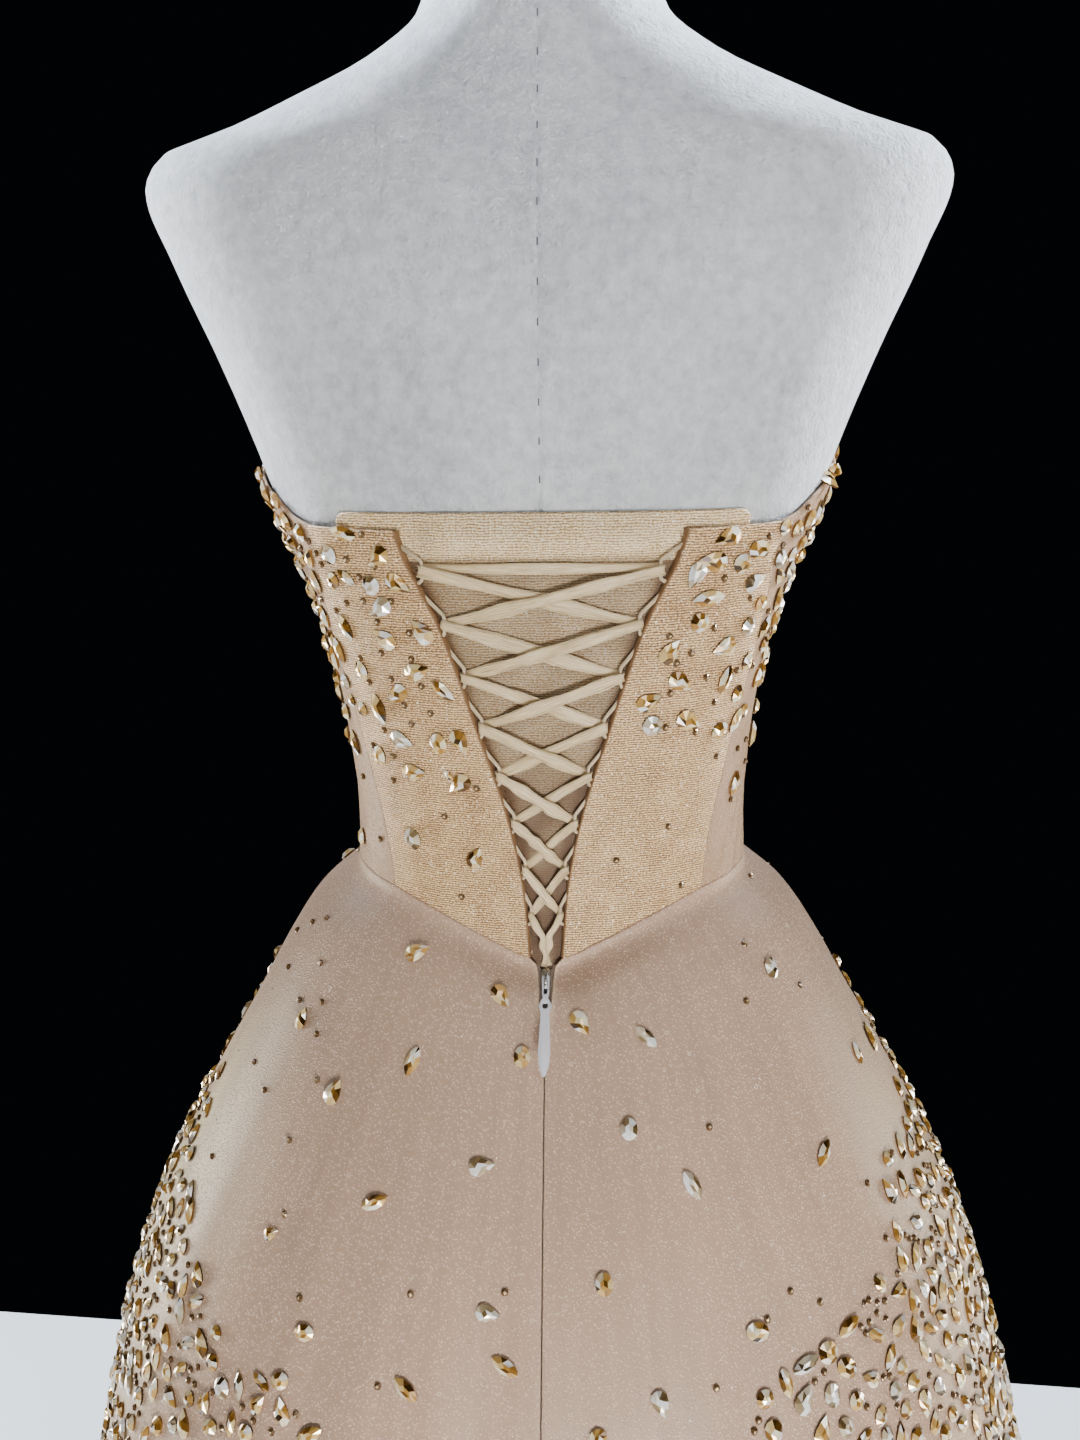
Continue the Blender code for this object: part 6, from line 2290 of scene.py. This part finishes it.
@dataclass
class StoneWork:
    """All sewn-on stones, small beads and sequins."""

    bodice: Bodice
    skirt: Skirt
    seed: int = 7
    stone_room: float = 0.0058
    bead_room: float = 0.0019
    # In the picture's pixels: how soft the crowd's edge is, and what it shows of the flanks.
    crowd_edge: float = 42.0
    seen_across: tuple[float, float] = (352.0, 752.0)
    seen_down: float = 1436.0
    # Tries per square metre on the bodice and on the skirt, and the share of tries for beads.
    tries: tuple[int, int] = (30000, 15000)
    bead_tries: float = 0.35
    # Shares of the cuts among scattered stones.
    mix: tuple = (0.34, 0.36, 0.16, 0.14)
    stone_scale: float = 1.08
    # A cut stone's foot and table as shares of its outline, and its girdle and table as shares
    # of its rise.
    foot: float = 0.90
    table: float = 0.50
    girdle: float = 0.36
    table_up: float = 0.90
    # How far stones and sequins are lifted off the cloth.
    stone_lift: float = 0.00005
    sequin_lift: float = 0.00022
    # Columns: panel, sequins per square metre.
    sequin_panels: tuple = (
        ("bodice_back_left", 1500.0), ("bodice_back_right", 1500.0), ("skirt_back_left", 420.0),
        ("skirt_back_right", 420.0), ("skirt_front", 220.0))
    sequin_radius: float = 0.00082
    sequin_rim: float = 0.00017
    sequin_lean: float = 0.45
    # Painted light and shade of the facets, from dark to bright, and of the bead's girdle, crown and table,
    # standing in for reflections in the glass.
    palette: tuple = (0.06, 0.30, 0.50, 0.72, 0.92, 0.38, 0.60, 0.18)
    bead_tones: tuple = (0.05, 0.20, 0.32, 1.0, 0.75, 0.5, 0.45)
    # Columns: cut, length, width, rise.
    sizes: tuple = ((Cut.PEAR, 0.0128, 0.0088, 0.0032), (Cut.NAVETTE, 0.0134, 0.0064, 0.0030),
                    (Cut.OVAL, 0.0104, 0.0082, 0.0034), (Cut.ROUND, 0.0090, 0.0090, 0.0034),
                    (Cut.BEAD, 0.0034, 0.0034, 0.0017))
    # Chance of a stone on the bodice.  Columns: share of the height, left, right, front.
    bodice_crowd: tuple = ((0.00, 0.00, 0.00, 0.00), (0.30, 0.06, 0.03, 0.02), (0.42, 0.35, 0.08, 0.06),
                           (0.52, 0.85, 0.40, 0.30), (0.64, 1.00, 1.00, 0.60), (1.00, 1.00, 1.00, 0.80))
    # Stones on the skirt beyond the picture.  Columns: depth, place round where the crowd
    # starts, chance in the crowd.
    skirt_crowd: tuple = (
        (0.060, 0.170, 0.00), (0.120, 0.160, 0.50), (0.225, 0.150, 0.85), (0.350, 0.130, 0.95),
        (0.450, 0.085, 0.95), (0.560, 0.050, 0.85), (0.700, 0.030, 0.55), (0.860, 0.020, 0.22),
        (1.040, 0.010, 0.04))

    def outline(self, cut: Cut, count: int) -> Array:
        """Outline of a stone one unit long and wide, its pointed end towards +x.

        Args:
            cut: The stone's shape.
            count: Points.

        Returns:
            The points.
        """
        angle = np.linspace(0.0, math.tau, count, endpoint=False)
        x, y = 0.5 * np.cos(angle), 0.5 * np.sin(angle)
        if cut is Cut.PEAR:
            y = y * np.abs(np.sin(0.5 * angle)) ** 1.1 * 1.28
        if cut is Cut.NAVETTE:
            y = y * np.abs(np.sin(angle)) ** 0.45
        return np.stack([x, y], axis=-1)

    def template(self, cut: Cut, length: float, width: float, rise: float) -> Object:
        """Faceted stone: a girdle, broad crown facets and a low table of three tones, all painted light and
        shade.

        Args:
            cut: The stone's shape.
            length: Length in metres.
            width: Width in metres.
            rise: Height above the cloth in metres.

        Returns:
            The stone, flat side down at the origin.
        """
        count = 8 if cut is Cut.BEAD else 12
        half = count // 2
        rng = np.random.default_rng(40 + cut.value)
        edge = self.outline(cut, count)
        middle = edge.mean(axis=0)
        table = middle + (edge[::2] - middle) * self.table
        points = [(x * length * self.foot, y * width * self.foot, 0.0) for x, y in edge]
        points += [(x * length, y * width, self.girdle * rise) for x, y in edge]
        points += [(x * length, y * width, self.table_up * rise) for x, y in table]
        points.append((middle[0] * length, middle[1] * width, rise))
        faces, tones = [], []
        palette = np.array(self.palette)
        rng.shuffle(palette)
        # Painted light and shade: the girdle's facets dark, the crown's and table's facets in shuffled light
        # and dark tones.
        for k in range(count):
            faces.append((k, (k + 1) % count, count + (k + 1) % count, count + k))
            tones.append(-0.08 + 0.10 * rng.random())
        for k in range(half):
            following = (k + 1) % half
            first = count + 2 * k
            faces.append((first, first + 1, 2 * count + following, 2 * count + k))
            faces.append((first + 1, count + (2 * k + 2) % count, 2 * count + following))
            tones += [palette[k % 8], palette[k % 8] + (0.08 if k % 2 else -0.04)]
        for k in range(half):
            faces.append((2 * count + k, 2 * count + (k + 1) % half, 2 * count + half))
            tones.append(palette[(5 + k // 2) % 8])
        obj = link_mesh(f"cut_{cut.value}_{cut.name.lower()}", np.array(points), faces, smooth_faces=False)
        # The bead's girdle is painted dark and one facet of its table painted as a bright highlight.
        if cut is Cut.BEAD:
            girdle, *crown = self.bead_tones
            tones = [girdle] * count + crown[:2] * half + crown[2:]
        set_attribute(obj, "facet_tone", np.array(tones), "FACE")
        return obj

    def by_hand(self) -> StoneField:
        """Set the stones and beads of the picture on the cloth they are seen on.

        Returns:
            The field of them.
        """
        stones = StoneField()
        panels = {**self.bodice.panels, **self.skirt.panels}
        trees = [BVHTree.FromPolygons(outer.reshape(-1, 3).tolist(), grid_faces(*outer.shape[:2]))
                 for outer, _ in panels.values()]
        origin = Vector(CAMERA.place)
        right, up, _ = CAMERA.axes()
        rng = np.random.default_rng(self.seed)
        beads = tuple(Placed(x, y, Cut.BEAD) for x, y in BACK_BEADS)
        for item in BACK_STONES + beads:
            direction = Vector(CAMERA.ray(item.across, item.down))
            hits = [tree.ray_cast(origin, direction) for tree in trees]
            hits = [hit for hit in hits if hit[0] is not None]
            if not hits:
                LOG.info("no cloth at picture point %g, %g", item.across, item.down)
                continue
            place, normal, _, _ = min(hits, key=lambda hit: hit[3])
            normal = np.array(normal)
            if normal @ np.array(direction) > 0:
                normal = -normal
            turn = math.radians(item.turn)
            along = math.cos(turn) * right + math.sin(turn) * up
            radius = self.bead_room if item.cut is Cut.BEAD else self.stone_room * item.size * 0.8
            stones.add(np.array(place), normal, along, item.cut, item.size, radius, float(rng.random()))
        return stones

    def scatter(self, stones: StoneField, outer: Array, chance: Array, tries: int,
                beads: bool, rng: np.random.Generator) -> None:
        """Scatter stones over a grid of points where the chance allows them.

        Args:
            stones: The field they are added to.
            outer: The panel's outer points by row and column.
            chance: Chance of a stone at each grid cell.
            tries: How many places are tried.
            beads: Whether small beads are set between the stones.
            rng: Random numbers.
        """
        a, b = outer[1:, :-1] - outer[:-1, :-1], outer[:-1, 1:] - outer[:-1, :-1]
        cross = np.cross(b, a)
        weight = np.linalg.norm(cross, axis=-1) * chance
        if weight.sum() <= 0:
            return
        flat = rng.choice(weight.size, size=tries, p=(weight / weight.sum()).ravel())
        for k in flat:
            r, c = divmod(int(k), weight.shape[1])
            s, t = rng.random(2)
            point = outer[r, c] + s * a[r, c] + t * b[r, c]
            size = 0.82 + 0.28 * rng.random()
            radius = self.bead_room if beads else self.stone_room * size
            if stones.near(point, radius):
                continue
            normal = unit(cross[r, c])
            angle = rng.random() * math.tau
            steep = unit(a[r, c])
            sideways = np.cross(normal, steep)
            lean = 0.30 * (angle - math.pi) if rng.random() < 0.75 else angle
            along = math.cos(lean) * steep + math.sin(lean) * sideways
            cut = Cut.BEAD if beads else Cut(int(rng.choice(4, p=self.mix)))
            stones.add(point, normal, along, cut, 1.0 if beads else size, radius, float(rng.random()))

    def bodice_chance(self, name: str, outer: Array) -> Array:
        """Chance of a scattered stone on a bodice panel; the back panels' stones are listed one by one.

        Args:
            name: The panel's name.
            outer: Its outer points by row and column.

        Returns:
            The chance at each grid cell.
        """
        middle = self.cell_middles(outer)
        left, right, front = smooth(self.bodice_crowd, np.linspace(0.0, 1.0, len(middle))).T
        if "back" in name:
            return np.zeros(middle.shape[:2])
        if "front" in name:
            edge = np.abs(np.linspace(-1.0, 1.0, middle.shape[1]))
            return front[:, None] * (0.45 + 0.55 * edge[None, :])
        across = CAMERA.project(middle)[..., 0]
        seen = (across > self.seen_across[0]) & (across < self.seen_across[1]) & (middle[..., 1] > 0.0)
        row = left if "left" in name else right
        return row[:, None] * np.where(seen, 0.10, 1.0)

    def cell_middles(self, outer: Array) -> Array:
        """Middle of each cell of a grid of points."""
        return 0.25 * (outer[1:, 1:] + outer[:-1, 1:] + outer[1:, :-1] + outer[:-1, :-1])

    def skirt_chance(self, _: str, outer: Array) -> Array:
        """Chance of a scattered stone on a skirt panel.

        Args:
            _: The panel's name, as bodice_chance takes it; not used.
            outer: Its outer points by row and column.

        Returns:
            The chance at each grid cell.
        """
        middle = self.cell_middles(outer)
        angle = np.abs(np.arctan2(middle[..., 0], middle[..., 1])) / math.tau
        depth = (WAIST_Z - 0.012) - middle[..., 2]
        start, crowd = smooth(self.skirt_crowd, depth.ravel()).T
        start, crowd = start.reshape(depth.shape), crowd.reshape(depth.shape)
        away = np.where(angle > 0.30, 0.5 - angle + 0.05, angle)
        wave = np.sin(angle * 95.0 + 3.0 * np.sin(depth * 37.0))
        clump = 0.5 + 0.5 * wave * np.sin(depth * 61.0 + angle * 40.0)
        chance = crowd * ease((away - start) / 0.03) * (0.45 + 0.55 * clump) + 0.010
        across, down = np.moveaxis(CAMERA.project(middle), -1, 0)
        seen = (middle[..., 1] > 0.0) & (down < self.seen_down)
        left = np.interp(down, *zip(*LEFT_CROWD), left=0.0)
        right = np.interp(down, *zip(*RIGHT_CROWD), left=2000.0)
        inside = np.maximum(left - across, across - right) + self.crowd_edge * (clump - 0.5)
        return np.where(seen, ease(inside / self.crowd_edge) * (0.50 + 0.50 * clump), chance)

    def recipe(self) -> NodeRecipe:
        """Tree that sets a cut stone on every point, by the point's own attributes.

        Returns:
            The tree.
        """
        recipe = NodeRecipe("set_stones", ("Cuts", "Stone scale"))
        given = recipe.given
        cuts = recipe.add("GeometryNodeCollectionInfo", {
            "Collection": given["Cuts"], "Separate Children": True, "Reset Children": False})
        which, turn, size = (recipe.add("GeometryNodeInputNamedAttribute", {"Name": name}, data_type=kind)
                             for name, kind in (("cut", "INT"), ("turn", "FLOAT_VECTOR"), ("size", "FLOAT")))
        recipe.close(recipe.add("GeometryNodeInstanceOnPoints", {
            "Points": given[0], "Instance": cuts, "Pick Instance": True, "Instance Index": which,
            "Rotation": recipe.add("FunctionNodeEulerToRotation", (turn,)),
            "Scale": recipe.add("Math MULTIPLY", (size, given["Stone scale"]))}))
        return recipe

    def realise(self, stones: StoneField, name: str, recipe: NodeRecipe, cuts: Collection,
                material: Material, beads: bool) -> None:
        """Turn the stones or the beads of a field into one mesh and finish it.

        Args:
            stones: The field.
            name: The piece's name.
            recipe: The tree that sets them.
            cuts: Their templates.
            material: Their material.
            beads: Whether it is the beads.
        """
        chosen = [p for p in stones.places if (p[3] is Cut.BEAD) == beads]
        if not chosen:
            return
        mesh = bpy.data.meshes.new(name + "_points")
        mesh.from_pydata([tuple(p[0] + p[1] * self.stone_lift) for p in chosen], [], [])
        turns = []
        for _, normal, along, _, _, _ in chosen:
            turns.extend(Matrix((along, np.cross(normal, along), normal)).transposed().to_euler())
        for key, kind, where, values in (
                ("cut", "INT", "value", [0 if beads else p[3].value for p in chosen]),
                ("size", "FLOAT", "value", [p[4] for p in chosen]),
                ("tint", "FLOAT", "value", [p[5] for p in chosen]),
                ("turn", "FLOAT_VECTOR", "vector", turns)):
            mesh.attributes.new(key, kind, "POINT").data.foreach_set(where, values)
        made = recipe.run(link_object(name + "_points", mesh), name, cuts, self.stone_scale, material)
        LOG.info("%s: %d set", name, len(chosen))
        finish_piece(made, material, "tulle_over_satin")

    def sequins(self, panel: str, foil: Material, density: float, seed: int) -> None:
        """Tiny round sequins scattered over a panel by Geometry Nodes, each leaning its own way.

        Args:
            panel: The panel.
            foil: Their material.
            density: Sequins per square metre.
            seed: Seed of their places.
        """
        recipe = NodeRecipe("scatter_sequins", ("Density", "Radius", "Rim", "Lean", "Seed"))
        add, given = recipe.add, recipe.given
        spread = add("GeometryNodeDistributePointsOnFaces", {
            "Mesh": given[0], "Density": given["Density"], "Seed": given["Seed"]})
        ring = add("GeometryNodeCurvePrimitiveCircle", {"Resolution": 9, "Radius": given["Radius"]})
        rim = add("GeometryNodeCurvePrimitiveCircle", {"Resolution": 4, "Radius": given["Rim"]})
        disc = add("GeometryNodeCurveToMesh", {"Curve": ring, "Profile Curve": rim})
        low = add("Math MULTIPLY", (given["Lean"], -1.0))
        lean = add("FunctionNodeRandomValue", data_type="FLOAT_VECTOR", inputs={
            "Min": low, "Max": given["Lean"], "Seed": given["Seed"]})
        turned = add("FunctionNodeRotateRotation", rotation_space="LOCAL", inputs={
            "Rotation": spread.outputs["Rotation"], "Rotate By": lean})
        placed = add("GeometryNodeInstanceOnPoints", {"Points": spread, "Instance": disc, "Rotation": turned})
        recipe.close(add("GeometryNodeTranslateInstances", {
            "Instances": placed, "Translation": (0.0, 0.0, self.sequin_lift)}))
        outer = {**self.bodice.panels, **self.skirt.panels}[panel + "_cloth"][0]
        name = f"sequins_{panel}"
        face = link_mesh(name + "_face", outer.reshape(-1, 3), grid_faces(*outer.shape[:2]))
        made = recipe.run(face, name, density, self.sequin_radius, self.sequin_rim, self.sequin_lean,
                          seed, foil)
        slot = "glitter_mesh" if "bodice_back" in panel else "tulle_over_satin"
        finish_piece(made, foil, slot)

    def dress(self) -> None:
        """Place, build and finish every stone, bead and sequin."""
        crystal, bronze = FoiledCrystal().make(), SmokedBead().make()
        cuts = bpy.data.collections.new("stone_cuts")
        bead_cut = bpy.data.collections.new("bead_cut")
        for cut, length, width, rise in self.sizes:
            obj = self.template(cut, length, width, rise)
            bpy.context.scene.collection.objects.unlink(obj)
            (bead_cut if cut is Cut.BEAD else cuts).objects.link(obj)
        recipe = self.recipe()
        hand = self.by_hand()
        rng = np.random.default_rng(self.seed + 1)
        for shell, chance, density in zip((self.bodice, self.skirt), (self.bodice_chance, self.skirt_chance),
                                          self.tries):
            for name, (outer, area) in shell.panels.items():
                stones = StoneField(cells={k: list(v) for k, v in hand.cells.items()})
                share = chance(name, outer)
                tries = int(area * density)
                self.scatter(stones, outer, share, tries, False, rng)
                self.scatter(stones, outer, share, int(tries * self.bead_tries), True, rng)
                word = name.replace("_cloth", "")
                self.realise(stones, f"stones_{word}", recipe, cuts, crystal, False)
                self.realise(stones, f"beads_{word}", recipe, bead_cut, bronze, True)
        self.realise(hand, "stones_set_by_hand", recipe, cuts, crystal, False)
        self.realise(hand, "beads_set_by_hand", recipe, bead_cut, bronze, True)
        foil = Plain("clear_sequin", "FBF0DE", "E6D3B6", 0.18, 300.0).make()
        for seed, (panel, density) in enumerate(self.sequin_panels, start=11):
            self.sequins(panel, foil, density, seed)
        for collection in (cuts, bead_cut):
            for obj in list(collection.objects):
                bpy.data.objects.remove(obj)
            bpy.data.collections.remove(collection)


# ---------------------------------------------------------------- studio
@dataclass
class Studio:
    """Pale floor that ends behind the dress, a dark room and soft lights."""

    floor_half: float = 3.2
    floor_far: float = -0.690
    floor_slant: float = -0.0545
    # Columns: name, place, aim, width, height, watts, spread in degrees, colour.
    lights: tuple = (
        ("low_softbox", (-0.35, 1.90, 0.45), (0.0, 0.0, 0.55), 0.9, 0.45, 13.4, 80.0, "FFFDFA"),
        ("overhead_softbox", (-0.25, 1.45, 3.00), (0.0, 0.0, 1.15), 1.2, 0.8, 15.0, 180.0, "F6FAFF"),
        ("shoulder_softbox", (-0.25, 1.90, 2.10), (0.0, 0.0, 1.46), 0.25, 0.15, 0.16, 18.0, "E8F1FF"),
        ("left_softbox", (1.75, 1.15, 1.60), (0.0, 0.05, 0.95), 0.6, 1.4, 5.0, 180.0, "FFFCF7"),
        ("right_softbox", (-1.65, 1.45, 1.30), (0.0, 0.05, 0.85), 0.6, 1.4, 13.0, 180.0, "FFFCF7"),
        ("left_rim", (1.25, -0.45, 1.95), (0.12, 0.0, 1.50), 0.12, 0.20, 4.5, 30.0, "ECF4FF"),
        ("right_rim", (-1.25, -0.45, 1.95), (-0.12, 0.0, 1.50), 0.12, 0.20, 4.5, 30.0, "ECF4FF"),
        ("left_hem_light", (1.60, -0.35, 0.55), (0.20, 0.0, 0.60), 0.35, 0.9, 28.0, 180.0, "FFF8EA"),
        ("right_hem_light", (-1.60, -0.35, 0.55), (-0.20, 0.0, 0.60), 0.35, 0.9, 19.0, 180.0, "FFF8EA"),
        ("front_softbox", (0.0, -1.50, 2.40), (0.0, -1.10, 0.0), 1.6, 0.8, 46.0, 100.0, "D8E8FF"))
    room_colour: str = "050608"

    def build(self) -> None:
        """Add the floor, the lights and the dark room."""
        half, lean = self.floor_half, self.floor_slant * self.floor_half
        mesh = bpy.data.meshes.new("studio_floor")
        corners = [(-half, self.floor_far - lean, 0.0), (half, self.floor_far + lean, 0.0),
                   (half, half, 0.0), (-half, half, 0.0)]
        mesh.from_pydata(corners, [], [(0, 1, 2, 3)])
        floor = link_object("studio_floor", mesh)
        mesh.materials.append(Plain("pale_floor", "F6FCFF", "EFF7FC", 0.6, 2.0).make())
        for name, place, aim, width, height, watts, spread, colour in self.lights:
            data = bpy.data.lights.new(name, "AREA")
            data.shape = "RECTANGLE"
            data.size, data.size_y = width, height
            data.energy = watts
            data.color = srgb(colour)[:3]
            data.spread = math.radians(spread)
            lamp = link_object(name, data)
            lamp.location = place
            lamp.rotation_euler = (Vector(aim) - Vector(place)).to_track_quat("-Z", "Y").to_euler()
        world = bpy.data.worlds.new("dark_room")
        world.use_nodes = True
        world.node_tree.nodes["Background"].inputs[0].default_value = srgb(self.room_colour)
        bpy.context.scene.world = world


def main() -> None:
    """Build every sub-assembly in order."""
    logging.basicConfig(level=logging.INFO, format="%(name)s: %(message)s")
    CAMERA.build()
    Studio().build()
    # The meshes' third colour paints glints and their facing colour paints shade; the tulles' last colour is
    # pale satin mixed with painted sheen.
    mesh_cloth = GlitterMesh("champagne_glitter_mesh", "5C3B1C", "B28652", "FFDEAE").make()
    deep_mesh = GlitterMesh("golden_glitter_mesh", "8A6634", "DEBA82", "FFF2D4", facing="523412",
                            speck_share=0.34).make()
    tulle = TulleOverSatin("tulle_over_satin_skirt", "C4A58E", "E0BCA2", "F6E2B2").make()
    flank_tulle = TulleOverSatin("tulle_over_satin_bodice", "A68058", "BC9468", "D8BA84").make()
    DressForm().dress()
    Stand().dress()
    bodice = Bodice()
    bodice.build(mesh_cloth, flank_tulle)
    ModestyPanel().build(deep_mesh)
    Lacing().dress()
    skirt = Skirt()
    skirt.build(tulle)
    Zip(skirt).dress()
    bodice.declare()
    skirt.declare()
    StoneWork(bodice, skirt).dress()


if __name__ == "__main__":
    main()
